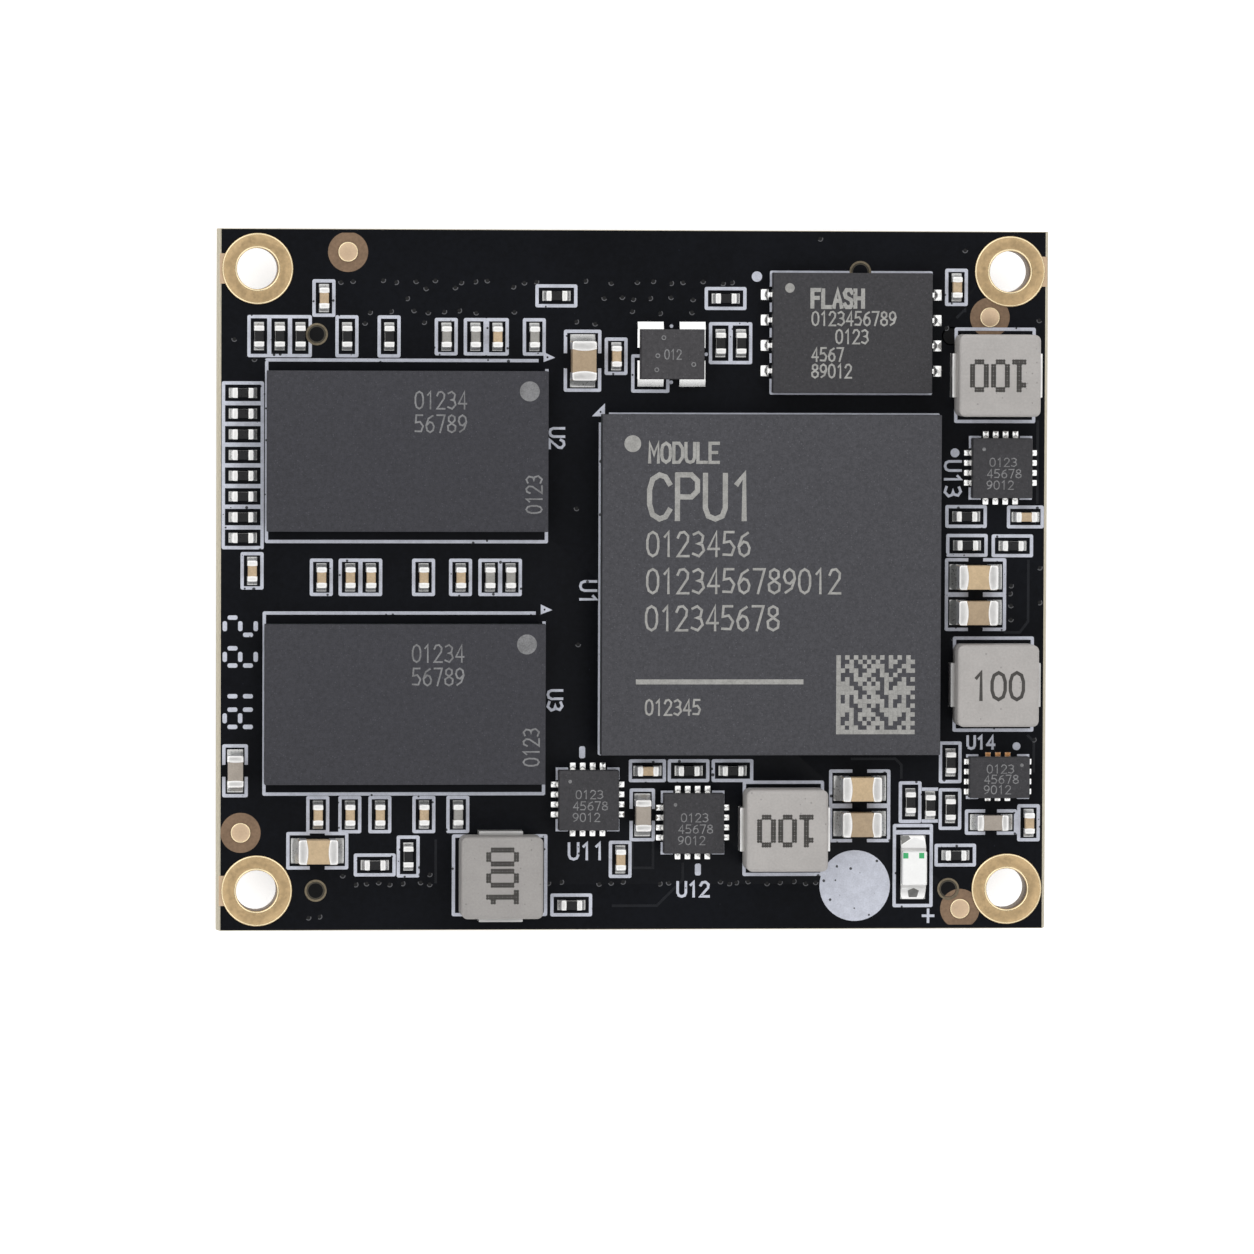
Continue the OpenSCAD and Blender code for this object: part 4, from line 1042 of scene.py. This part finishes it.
class MODULE_OT_legend(ModuleOperator):
    """White printed legend with plain part labels."""

    bl_idname = "module.legend"
    bl_label = "Legend"

    # Signs on the board are a little narrow
    squeeze = 0.86
    # Labels on the board, and labels from the middle of each regulator: text, place, height and turn
    board_labels = (("U1", -2.3, -0.6, 0.8, 270), ("U2", -3.9, 7.1, 0.72, 270),
                    ("U3", -3.95, -6.0, 0.72, 270), ("+", 14.89, -16.85, 0.85, 0))
    regulator_labels = (("U11", -0.05, -2.6, 0.8, 0), ("U12", 0.05, -3.35, 0.72, 0),
                        ("U13", -2.4, -0.55, 0.8, 270), ("U14", -0.85, 1.72, 0.62, 0))

    def execute(self, context):
        paint("printed_legend", "ink")
        labels = list(self.board_labels)
        for stem, (text, x, y, height, turn) in zip(REGULATORS, self.regulator_labels):
            low, high = node_box(f"{stem}_body")
            middle = (low + high) / 2
            labels.append((text, middle.x + x, middle.y + y, height, turn))
        top = node_box("printed_legend")[1].z
        bm = bmesh.new()
        for text, x, y, height, turn in labels:
            add_label(bm, text, x, y, height, turn, sizes().label_stroke, TOP, top, self.squeeze)
        make_piece("legend_labels", bm, "ink", "legend_ink")
        return {"FINISHED"}


class MODULE_OT_solder(ModuleOperator):
    """Lands, the fillets at chip ends and the beads on leadless terminals."""

    bl_idname = "module.solder"
    bl_label = "Solder"

    # Rise over run of the beads, which turns their sides to the bright walls of the studio
    bead_slope = 0.44
    # The regulator, axis and side whose land ends stay bare copper
    bare_side = (4, 1, 1)
    # Least length of an open land end that takes a bead, and of one that takes sloped tin
    bead_least, tin_least = 0.15, 0.05
    # Thickness of the sloped tin at its rim
    tin_toe = 0.02
    # Length of a bead's neck, how far its sides are set in, and how far it runs under what it joins
    neck, neck_inset, neck_lap = 0.16, 0.15, 0.05
    plain_nodes = ("solder_lands", "underside_lands", "processor_balls", "memory_a_balls", "memory_b_balls")
    chip_ends = ("large_capacitor_terminals", "middle_capacitor_terminals", "small_capacitor_terminals",
                 "resistor_terminals")

    def execute(self, context):
        for node in self.plain_nodes:
            paint(node, "solder")
        bm = bmesh.new()
        for low, high, axis, inward in self.facing_chips(islands("solder_fillets")):
            add_fillet(bm, low, high, axis, inward)
        make_piece("fillet_solder", bm, "fillet", "solder", ["solder_fillets"], smooth=ROUND_SOLDER)
        self.beads()
        return {"FINISHED"}

    def facing_chips(self, fillets):
        """Each fillet's box with its axis and the sign of the way to its chip."""
        ends = [(low + high) / 2 for node in self.chip_ends for low, high in islands(node)]
        for low, high in fillets:
            middle = (low + high) / 2
            way = min(ends, key=lambda p: (p.xy - middle.xy).length) - middle
            axis = 0 if abs(way.x) > abs(way.y) else 1
            yield low, high, axis, 1 if way[axis] > 0 else -1

    def beads(self):
        """Beads on the open ends of the leadless packages' lands, sloped tin on the oscillator's."""
        regulators = [node_box(f"{stem}_body") for stem in REGULATORS]
        flash, oscillator = node_box("flash_body"), node_box("oscillator_base")
        beads, copper, slopes, mask = (bmesh.new() for _ in range(4))
        for low, high in islands("solder_lands"):
            top = high.z
            for index, body in enumerate(regulators, 1):
                for axis, outward, start, end in self.open_parts(low, high, body, self.bead_least):
                    bare = (index, axis, outward) == self.bare_side
                    add_bead(copper if bare else beads, start, end, top, self.bead_slope)
            for _, outward, start, end in self.open_parts(low, high, flash, self.bead_least):
                self.necked_bead(beads, mask, outward, start, end, top)
            for axis, outward, start, end in self.open_parts(low, high, oscillator, self.tin_least):
                self.sloped_tin(slopes, axis, outward, start, end, top)
        make_piece("bead_solder", beads, "bead", "solder", smooth=ROUND_SOLDER)
        make_piece("bare_land_ends", copper, "bare_copper", "solder", smooth=ROUND_SOLDER)
        make_piece("oscillator_land_tin", slopes, "bead", "solder")
        make_piece("flash_land_mask", mask, "mask", "solder_mask")

    def sloped_tin(self, bm, axis, outward, start, end, top):
        """Solder on the open part of a land that slopes up to the package's side."""
        corners = rectangle(start, end)
        rim = end[axis] if outward > 0 else start[axis]
        toe = top + self.tin_toe
        slope = [(x, y, toe + self.bead_slope * abs((x, y)[axis] - rim)) for x, y in corners]
        add_loft(bm, [[(x, y, top) for x, y in corners], slope])

    def necked_bead(self, beads, mask, outward, start, end, top):
        """A bead with a narrow neck to the package beside it, and mask over the land beside the neck."""
        inset, lap = self.neck_inset, outward * self.neck_lap
        inner, outer = (end[0], start[0]) if outward < 0 else (start[0], end[0])
        waist = inner + outward * self.neck
        low_x, high_x = sorted((waist, outer))
        add_bead(beads, (low_x, start[1]), (high_x, end[1]), top, self.bead_slope)
        low_x, high_x = sorted((inner - lap, waist + lap))
        add_bead(beads, (low_x, start[1] + inset), (high_x, end[1] - inset), top, self.bead_slope)
        low_x, high_x = sorted((inner, waist))
        for low_y, high_y in ((start[1], start[1] + inset), (end[1] - inset, end[1])):
            add_box(mask, (low_x, low_y, top), (high_x, high_y, top + FILM))

    def open_parts(self, low, high, body, least):
        """The stretches of a land that stand out of a package by over the least length, with their sides."""
        body_low, body_high = body
        middle = (low + high) / 2
        if not all(body_low[k] - LAND_REACH < middle[k] < body_high[k] + LAND_REACH for k in (0, 1)):
            return
        for axis in (1, 0):
            for outward in (-1, 1):
                start, end = list(low), list(high)
                if outward < 0:
                    end[axis] = min(high[axis], body_low[axis])
                else:
                    start[axis] = max(low[axis], body_high[axis])
                if axis == 0:
                    # The ends along Y have taken the corners
                    start[1], end[1] = max(low.y, body_low.y), min(high.y, body_high.y)
                if end[axis] - start[axis] > least and end[1] > start[1]:
                    yield axis, outward, start, end


class MODULE_OT_packages(ModuleOperator):
    """Processor, memories, flash and regulators with rounded moulded edges."""

    bl_idname = "module.packages"
    bl_label = "Packages"

    def execute(self, context):
        edge = sizes().package_edge
        for stem, look in (("processor", "processor"), ("memory_a", "memory"), ("memory_b", "memory")):
            rounded_piece(f"{stem}_moulding", f"{stem}_top", look, "black_moulding", edge)
            rounded_piece(f"{stem}_substrate", f"{stem}_base", "substrate", "substrate", edge * 0.5, 1)
        for stem in ("flash", *REGULATORS):
            rounded_piece(f"{stem}_body", f"{stem}_top", "small_package", "black_moulding", edge)
            paint(f"{stem}_terminals", "tin")
        return {"FINISHED"}


class MODULE_OT_marks(ModuleOperator):
    """Laser marks on the packages: first-terminal dots, plain signs, a rule and a block of cells."""

    bl_idname = "module.marks"
    bl_label = "Laser marks"

    # Signs on the mouldings are narrow, those on the regulators less so
    squeeze = 0.68
    regulator_squeeze = 0.92
    # First-terminal dots: distance from the left or right side, distance from the upper side and radius
    processor_dot, flash_dot, memory_dot = (1.5, 1.45, 0.42), (0.82, 0.76, 0.24), (0.95, 1.0, 0.5)
    square_dot, low_dot = (0.55, 0.55, 0.09), (0.4, 0.4, 0.09)
    # The processor's rule, as two corners, and its block of cells: left, lower, size and count
    rule = ((1.7, 3.55), (10.1, 3.8))
    cells = (11.75, 1.05, 3.95, 18)
    # Rows from a package's lower left corner: text, left end, middle, height and pen width
    processor_rows = (("MODULE", 2.35, 15.1, 0.95, 0.16), ("CPU1", 2.35, 12.9, 2.2, 0.26),
                      ("0123456", 2.25, 10.55, 1.2, 0.12), ("0123456789012", 2.25, 8.7, 1.2, 0.12),
                      ("012345678", 2.2, 6.85, 1.2, 0.12), ("012345", 2.2, 2.4, 0.75, 0.1))
    flash_rows = (("FLASH", 1.95, 4.72, 0.85, 0.2), ("0123456789", 1.95, 3.72, 0.68, 0.09),
                  ("0123", 3.15, 2.82, 0.68, 0.09), ("4567", 1.95, 1.92, 0.66, 0.09),
                  ("89012", 1.95, 1.1, 0.66, 0.09))
    # Rows of a memory: text, left end, distance of the middle from the upper side, height and pen width
    memory_rows = (("01234", 7.35, 1.45, 0.85, 0.085), ("56789", 7.35, 2.62, 0.85, 0.085))
    # Rows of a regulator from below, with their left ends, their height and their pen width
    regulator_rows = (("9012", 0.7), ("45678", 0.72), ("0123", 0.85))
    regulator_height, regulator_pen = 0.42, 0.05
    # A regulator no deeper than this has its rows closer together
    low_package = 2.6
    # Places of the oscillator's small rings from its lower left corner, and the two radii of a ring
    ring_places = ((0.75, 0.45), (0.8, 1.15), (2.6, 0.72), (1.1, 2.05))
    ring_inner, ring_outer = 0.07, 0.12

    def dot(self, bm, low, high, side, inset, drop, radius):
        """A first-terminal dot near a package's upper side, at its left for side 1 or right for side -1."""
        x = low.x + inset if side == 1 else high.x - inset
        add_disc(bm, x, high.y - drop, radius, high.z, high.z + sizes().mark_height)

    def text_row(self, bm, text, x, y, z, height, pen, turn=0, squeeze=squeeze):
        """A row of plain signs that starts at a point and runs along its turn."""
        half = label_length(text, height, squeeze) / 2
        along = Matrix.Rotation(math.radians(turn), 2) @ Vector((half, 0))
        add_label(bm, text, x + along.x, y + along.y, height, turn, pen, z, z + sizes().mark_height, squeeze)

    def cell_block(self, bm, x, y, size, count, low):
        """A square field of cells, with two solid sides and two broken sides."""
        cell = size / count
        for j in range(count):
            for i in range(count):
                rim = i == 0 or j == 0 or (i == count - 1 and j % 2 == 0) or (j == count - 1 and i % 2 == 0)
                inner = 0 < i < count - 1 and 0 < j < count - 1
                chosen = inner and (i * i * 7 + j * j * 5 + i * j * 3 + i * 11) % 13 % 2 == 0
                if rim or chosen:
                    # Cells lap a little, so that no gap shows between two of them
                    add_box(bm, (x + i * cell, y + j * cell, low),
                            (x + (i + 1.02) * cell, y + (j + 1.02) * cell, low + sizes().mark_height))

    def execute(self, context):
        bm = bmesh.new()
        raised = sizes().mark_height
        low, high = node_box("processor_moulding")
        left, front, top = low.x, low.y, high.z
        self.dot(bm, low, high, 1, *self.processor_dot)
        start, end = self.rule
        add_box(bm, (left + start[0], front + start[1], top), (left + end[0], front + end[1], top + raised))
        x, y, size, count = self.cells
        self.cell_block(bm, left + x, front + y, size, count, top)
        for line, x, y, height, pen in self.processor_rows:
            self.text_row(bm, line, left + x, front + y, top, height, pen)
        low, high = node_box("flash_body")
        self.dot(bm, low, high, 1, *self.flash_dot)
        for line, x, y, height, pen in self.flash_rows:
            self.text_row(bm, line, low.x + x, low.y + y, high.z, height, pen)
        make_piece("laser_marks", bm, "laser", "legend_ink")
        self.faint_marks()
        return {"FINISHED"}

    def faint_marks(self):
        """The fainter marks of the memories, regulators and oscillator."""
        bm = bmesh.new()
        raised = sizes().mark_height
        for stem in ("memory_a", "memory_b"):
            low, high = node_box(f"{stem}_moulding")
            self.dot(bm, low, high, -1, *self.memory_dot)
            for line, x, down, height, pen in self.memory_rows:
                self.text_row(bm, line, low.x + x, high.y - down, high.z, height, pen)
            self.text_row(bm, "0123", high.x - 0.72, low.y + 0.95, high.z, 0.78, 0.085, 90)
        for stem in REGULATORS:
            low, high = node_box(f"{stem}_body")
            # Height of the lowest row and step between the rows
            if high.y - low.y > self.low_package:
                first, step = 0.66, 0.57
                self.dot(bm, low, high, 1, *self.square_dot)
            else:
                first, step = 0.42, 0.52
                self.dot(bm, low, high, -1, *self.low_dot)
            for row, (line, x) in enumerate(self.regulator_rows):
                self.text_row(bm, line, low.x + x, low.y + first + row * step, high.z, self.regulator_height,
                              self.regulator_pen, 0, self.regulator_squeeze)
        low, high = node_box("oscillator_lid")
        self.text_row(bm, "012", low.x + 1.15, (low.y + high.y) / 2, high.z, 0.48, 0.055)
        ring = [(self.ring_inner, high.z), (self.ring_outer, high.z), (self.ring_outer, high.z + raised),
                (self.ring_inner, high.z + raised)]
        for x, y in self.ring_places:
            add_turned(bm, low.x + x, low.y + y, ring, 20)
        make_piece("faint_marks", bm, "faint_laser", "legend_ink")


class MODULE_OT_oscillator(ModuleOperator):
    """Oscillator base, lid and terminals."""

    bl_idname = "module.oscillator"
    bl_label = "Oscillator"

    def execute(self, context):
        rounded_piece("oscillator_base", "oscillator_case", "lid", "dark_ceramic", sizes().package_edge)
        paint("oscillator_lid", "lid")
        paint("oscillator_terminals", "gold")
        return {"FINISHED"}


# Dots of two figures on a 4 by 7 grid, one row to a line
FIGURES = {
    "1": ("0010", "0110", "0010", "0010", "0010", "0010", "0111"),
    "0": ("0110", "1001", "1001", "1001", "1001", "1001", "0110"),
}


class MODULE_OT_inductors(ModuleOperator):
    """Pressed inductors with tinned terminals and a printed value."""

    bl_idname = "module.inductors"
    bl_label = "Inductors"

    # Turn of the value on each inductor, in degrees
    turns = (180, 0, 90, 180)
    # Inductors with a value in pen strokes, those of a darker press and those whose end strips are painted
    # darker as shade
    pen_drawn = (2,)
    darker = (3,)
    dull = (2, 3)
    strip_edge = 0.03
    text = "100"
    dot_step = 0.23
    dot_radius = 0.074
    # Step between figures and half the step between the dots of a stroke, as shares of the dots' step
    figure_share, stroke_share = 4.6, 0.27
    pen_height = 1.35
    pen_width = 0.17
    pen_squeeze = 0.73

    def execute(self, context):
        bm = bmesh.new()
        for index, turn in enumerate(self.turns, 1):
            body, ends = f"inductor_{index}_body", f"inductor_{index}_terminals"
            paint(body, "dark_inductor" if index in self.darker else "inductor")
            look = "dull_tin" if index in self.dull else "tin"
            rounded_piece(ends, f"inductor_{index}_strip", look, "tin", self.strip_edge)
            low, high = node_box(body)
            x, y, z = (low.x + high.x) / 2, (low.y + high.y) / 2, high.z
            if index in self.pen_drawn:
                add_label(bm, self.text, x, y, self.pen_height, turn, self.pen_width, z,
                          z + sizes().mark_height, self.pen_squeeze)
            else:
                self.dotted_value(bm, x, y, z, turn)
        make_piece("value_prints", bm, "print", "legend_ink")
        return {"FINISHED"}

    def dotted_value(self, bm, x, y, z, turn):
        """The dots of the value on one inductor. A stroke is two dots wide."""
        spin = Matrix.Rotation(math.radians(turn), 2)
        pitch = self.figure_share * self.dot_step
        apart = self.dot_step * self.stroke_share
        around = [(i * apart, j * apart) for i in (-1, 1) for j in (-1, 1)]
        for place, figure in enumerate(self.text):
            for row, line in enumerate(FIGURES[figure]):
                for column in (i for i, dot in enumerate(line) if dot == "1"):
                    for dx, dy in around:
                        local = spin @ Vector(((place - 1) * pitch + (column - 1.5) * self.dot_step + dx,
                                               (3 - row) * self.dot_step + dy))
                        add_disc(bm, x + local.x, y + local.y, self.dot_radius, z,
                                 z + sizes().mark_height, 10)


def cap_piece(node, name, look, bulge, corner, edge, reach=0.0):
    """End caps in place of a node of chip terminals, paired by chip to find which way each faces.

    A cap's wetted outer end reaches past the terminal.
    """
    boxes = islands(node)
    middles = [(low + high) / 2 for low, high in boxes]
    # Terminals nearer than this are in line, or the same one
    near = 0.01
    bm = bmesh.new()
    for (low, high), middle in zip(boxes, middles):
        axis = 0 if high.x - low.x < high.y - low.y else 1
        width = high[1 - axis] - low[1 - axis]
        partners = [p for p in middles if abs(p[1 - axis] - middle[1 - axis]) < near
                    and near < abs(p[axis] - middle[axis]) < 2 * width]
        partner = min(partners, key=lambda p: abs(p[axis] - middle[axis]))
        inward = 1 if partner[axis] > middle[axis] else -1
        outer = low if inward == 1 else high
        outer[axis] -= inward * reach
        add_cap(bm, low, high, axis, inward, bulge, corner, edge)
    make_piece(name, bm, look, "tin", [node], smooth=50)


class MODULE_OT_capacitors(ModuleOperator):
    """Ceramic capacitors with tinned ends."""

    bl_idname = "module.capacitors"
    bl_label = "Capacitors"

    # Bodies, their finishes and their slot
    kinds = (("large_capacitor_bodies", ("brown_ceramic", "warm_ceramic"), "dark_ceramic"),
             ("middle_capacitor_bodies", ("dusky_ceramic",), "dark_ceramic"),
             ("tan_capacitor_bodies", ("tan_ceramic",), "tan_ceramic"),
             ("grey_capacitor_bodies", ("grey_ceramic",), "grey_ceramic"),
             ("underside_capacitor_bodies", ("tan_ceramic",), "tan_ceramic"))
    # Which of the large chips, from left to right, are of the warmer batch
    warm = (1, 0, 0, 1, 0, 1)
    # Terminals, their finish, the swell of their edge towards the middle, their corner, soft edge and reach
    ends = (("large_capacitor_terminals", "tin", 0.1, 0.14, 0.07, 0.0),
            ("middle_capacitor_terminals", "tin", 0.04, 0.1, 0.06, 0.0),
            ("small_capacitor_terminals", "bright_tin", 0.03, 0.08, 0.05, 0.03),
            ("underside_capacitor_terminals", "bright_tin", 0.03, 0.08, 0.05, 0.0))

    def execute(self, context):
        for node, looks, slot in self.kinds:
            bm = softened(node, sizes().chip_edge)
            if len(looks) > 1:
                self.sort_batches(bm, islands(node))
            make_piece(node.replace("_bodies", "_ceramic"), bm, looks, slot, [node])
        for node, *shape in self.ends:
            cap_piece(node, node.replace("_terminals", "_ends"), *shape)
        return {"FINISHED"}

    def sort_batches(self, bm, chips):
        """Gives the faces of each chip the look of its batch."""
        for face in bm.faces:
            middle = face.calc_center_median()
            for batch, (low, high) in zip(self.warm, chips):
                if low.x <= middle.x <= high.x and low.y <= middle.y <= high.y:
                    face.material_index = batch


class MODULE_OT_resistors(ModuleOperator):
    """Chip resistors: white base, black coat and tinned ends."""

    bl_idname = "module.resistors"
    bl_label = "Resistors"

    coat_edge = 0.008

    def execute(self, context):
        edge = sizes().chip_edge * 0.5
        rounded_piece("resistor_bases", "resistor_alumina", "alumina", "white_ceramic", edge, 1)
        rounded_piece("resistor_coats", "resistor_glaze", "coat", "glass_coat", self.coat_edge, 1)
        cap_piece("resistor_terminals", "resistor_ends", "bright_tin", 0.02, 0.07, 0.045, 0.03)
        return {"FINISHED"}


class MODULE_OT_indicator(ModuleOperator):
    """Indicator light: white base, milky lens, soldered ends and two green marks."""

    bl_idname = "module.indicator"
    bl_label = "Indicator"

    base_edge = 0.02
    # Green marks: half the step between them, their shift from the middle and half their width
    mark_step, mark_shift, mark_half = 0.4, -0.06, 0.13
    # Ends of a mark from the lens's upper edge
    mark_ends = (0.36, 0.08)
    # Facets of the solder at each end, dark ones of painted shade and pale ones of painted highlight: share
    # of the half width, and of the run from the lamp to the toe
    shade_facets = {1: ((-0.97, 0.3), (-0.2, 0.75), (-0.35, 0.97), (-0.97, 0.97)),
                   -1: ((-0.45, 0.3), (0.0, 0.08), (0.45, 0.3), (0.32, 0.85), (-0.32, 0.85))}
    highlight_facets = {1: ((-0.85, 0.02), (0.9, 0.02), (0.9, 0.55), (0.1, 0.85), (-0.85, 0.22)),
                   -1: ((-0.95, 0.02), (-0.4, 0.02), (-0.55, 0.3), (-0.95, 0.16))}
    # How far the facets stand out of the solder
    dark_rise, pale_rise = 0.01, 0.005
    # A land whose middle is this near the lamp's belongs to it
    same_row = 0.1

    def execute(self, context):
        rounded_piece("indicator_base", "indicator_plate", "lamp_base", "lamp_base", self.base_edge)
        paint("indicator_lens", "lens")
        paint("indicator_terminals", "tin")
        low, high = node_box("indicator_lens")
        middle = (low + high) / 2
        start, end = (high.y - drop for drop in self.mark_ends)
        bm = bmesh.new()
        for side in (-1, 1):
            x = middle.x + self.mark_shift + side * self.mark_step
            add_box(bm, (x - self.mark_half, start, high.z), (x + self.mark_half, end, high.z + FILM))
        make_piece("indicator_marks", bm, "lamp_green", "lamp_base")
        self.ends()
        return {"FINISHED"}

    def ends(self):
        """Solder from the lamp's end faces to its lands, with a facet of painted shade and one of painted
        highlight at each end.
        """
        low, high = node_box("indicator_base")
        middle = (low + high) / 2
        crest = node_box("indicator_terminals")[1].z
        solder, dark, pale = (bmesh.new() for _ in range(3))
        for land_low, land_high in islands("solder_lands"):
            land = (land_low + land_high) / 2
            in_line = abs(land.x - middle.x) < self.same_row
            if not (in_line and low.y - LAND_REACH < land.y < high.y + LAND_REACH):
                continue
            side = 1 if land_high.y > high.y else -1
            near, toe = (high.y, land_high.y) if side == 1 else (low.y, land_low.y)
            base = land_high.z
            add_fillet(solder, (low.x, min(near, toe), base), (high.x, max(near, toe), crest), 1, -side, 0.0)
            for bm, facets, rise in ((pale, self.highlight_facets, self.pale_rise),
                                     (dark, self.shade_facets, self.dark_rise)):
                outline = [(middle.x + u * (high.x - low.x) / 2, near + run * (toe - near),
                            fillet_crest(base, crest, run)) for u, run in facets[side]]
                foot = [(x, y, base) for x, y, z in outline]
                add_loft(bm, [foot, [(x, y, z + rise) for x, y, z in outline]])
        make_piece("indicator_solder", solder, "bright_tin", "solder", smooth=ROUND_SOLDER)
        make_piece("indicator_solder_shade", dark, "recess", "tin")
        make_piece("indicator_glints", pale, "lens", "tin")


class MODULE_OT_connectors(ModuleOperator):
    """Board-to-board connectors underneath: nylon housings, gold contacts and tinned nails."""

    bl_idname = "module.connectors"
    bl_label = "Connectors"

    contact_edge, nail_edge = 0.015, 0.02

    def execute(self, context):
        for stem in ("connector_1", "connector_2"):
            paint(f"{stem}_housing", "nylon")
            rounded_piece(f"{stem}_contacts", f"{stem}_blades", "gold", "gold_plating", self.contact_edge, 1)
            rounded_piece(f"{stem}_nails", f"{stem}_hold_downs", "tin", "tin", self.nail_edge, 1)
        return {"FINISHED"}


class MODULE_OT_stage(ModuleOperator):
    """Pale floor, soft lights and the camera."""

    bl_idname = "module.stage"
    bl_label = "Stage"

    # Keeps the floor clear of the connectors' faces
    floor_gap = 0.00002
    floor_half = 3.0
    # Soft panels: azimuth and height in degrees, distance, width and power
    panels = (("key", 135, 42, 0.9, 0.7, 9.0), ("fill", 315, 40, 0.9, 0.7, 4.0),
              ("left", 225, 40, 0.8, 0.6, 4.5), ("right", 45, 40, 0.8, 0.6, 4.0))

    def execute(self, context):
        self.floor()
        self.lights()
        self.camera()
        context.scene.view_settings.view_transform = "Standard"
        return {"FINISHED"}

    def floor(self):
        half = self.floor_half
        mesh = bpy.data.meshes.new("floor")
        corners = [(-half, -half, 0), (half, -half, 0), (half, half, 0), (-half, half, 0)]
        mesh.from_pydata(corners, [], [(0, 1, 2, 3)])
        mesh.materials.append(finish("floor"))
        floor = bpy.data.objects.new("floor", mesh)
        floor.location.z = CAD_LOW.z - self.floor_gap
        bpy.context.scene.collection.objects.link(floor)

    def lights(self):
        """Soft panels round the module; the space above it, which its gloss mirrors, stays dim."""
        world = bpy.data.worlds.new("studio")
        world.use_nodes = True
        tree = world.node_tree
        coords = tree.nodes.new("ShaderNodeTexCoord")
        split = tree.nodes.new("ShaderNodeSeparateXYZ")
        tree.links.new(coords.outputs["Generated"], split.inputs["Vector"])
        values = stage_values()
        dark, even, bright, roof = ((level, level, level, 1.0)
                                    for level in (values.horizon, 1.0, values.ring, values.zenith))
        # Dark near the floor but for the far side, brighter half way up the walls, dim above
        far = mix_colour(tree, ramp_node(tree, split.outputs["Y"], 0.3, 0.9), dark, even)
        wall = mix_colour(tree, ramp_node(tree, split.outputs["Z"], 0.2, 0.5), far, bright)
        roof = mix_colour(tree, ramp_node(tree, split.outputs["Z"], 0.8, 0.98), wall, roof)
        tree.links.new(roof, tree.nodes["Background"].inputs["Color"])
        tree.nodes["Background"].inputs["Strength"].default_value = values.sky
        bpy.context.scene.world = world
        for name, azimuth, height, reach, width, power in self.panels:
            light = bpy.data.lights.new(name, "AREA")
            light.shape = "SQUARE"
            light.size = width
            light.energy = power * values.key
            lamp = bpy.data.objects.new(name, light)
            turn, rise = math.radians(azimuth), math.radians(height)
            lamp.location = Vector((math.cos(turn) * math.cos(rise), math.sin(turn) * math.cos(rise),
                                    math.sin(rise))) * reach
            lamp.rotation_euler = (-lamp.location).to_track_quat("-Z", "Y").to_euler()
            bpy.context.scene.collection.objects.link(lamp)

    def camera(self):
        """Looks down on the board from its upper left, with the board's long side level."""
        values = stage_values()
        plane = TOP * MM
        eye = Vector((values.foot[0], values.foot[1], plane + values.distance))
        target = Vector((values.target[0], values.target[1], plane))
        ahead = (target - eye).normalized()
        right = (Vector((1, 0, 0)) - ahead * ahead.x).normalized()
        up = right.cross(ahead)
        data = bpy.data.cameras.new("camera")
        data.sensor_width = 36.0
        data.lens = data.sensor_width * (target - eye).length / values.frame_width
        data.clip_start = 0.01
        data.clip_end = 20.0
        camera = bpy.data.objects.new("camera", data)
        camera.matrix_world = Matrix((
            (right.x, up.x, -ahead.x, eye.x), (right.y, up.y, -ahead.y, eye.y),
            (right.z, up.z, -ahead.z, eye.z), (0, 0, 0, 1)))
        bpy.context.scene.collection.objects.link(camera)
        bpy.context.scene.camera = camera


STEPS = (MODULE_OT_board, MODULE_OT_relief, MODULE_OT_plating, MODULE_OT_legend, MODULE_OT_solder,
         MODULE_OT_packages, MODULE_OT_marks, MODULE_OT_oscillator, MODULE_OT_inductors, MODULE_OT_capacitors,
         MODULE_OT_resistors, MODULE_OT_indicator, MODULE_OT_connectors, MODULE_OT_stage)


class MODULE_PT_dressing(bpy.types.Panel):
    """Lists the dressing steps in the sidebar."""

    bl_label = "Module Dressing"
    bl_idname = "MODULE_PT_dressing"
    bl_space_type = "VIEW_3D"
    bl_region_type = "UI"
    bl_category = "Module"

    def draw(self, context):
        for step in STEPS:
            self.layout.operator(step.bl_idname)


GROUPS = (("module_colours", ModuleColours), ("module_sizes", ModuleSizes), ("module_stage", ModuleStage))


def register():
    for name, group in GROUPS:
        bpy.utils.register_class(group)
        setattr(bpy.types.Scene, name, bpy.props.PointerProperty(type=group))
    for step in STEPS:
        bpy.utils.register_class(step)
    bpy.utils.register_class(MODULE_PT_dressing)


def unregister():
    bpy.utils.unregister_class(MODULE_PT_dressing)
    for step in reversed(STEPS):
        bpy.utils.unregister_class(step)
    for name, group in reversed(GROUPS):
        delattr(bpy.types.Scene, name)
        bpy.utils.unregister_class(group)


def main():
    register()
    for step in STEPS:
        area, name = step.bl_idname.split(".")
        getattr(getattr(bpy.ops, area), name)()


if __name__ == "__main__":
    main()
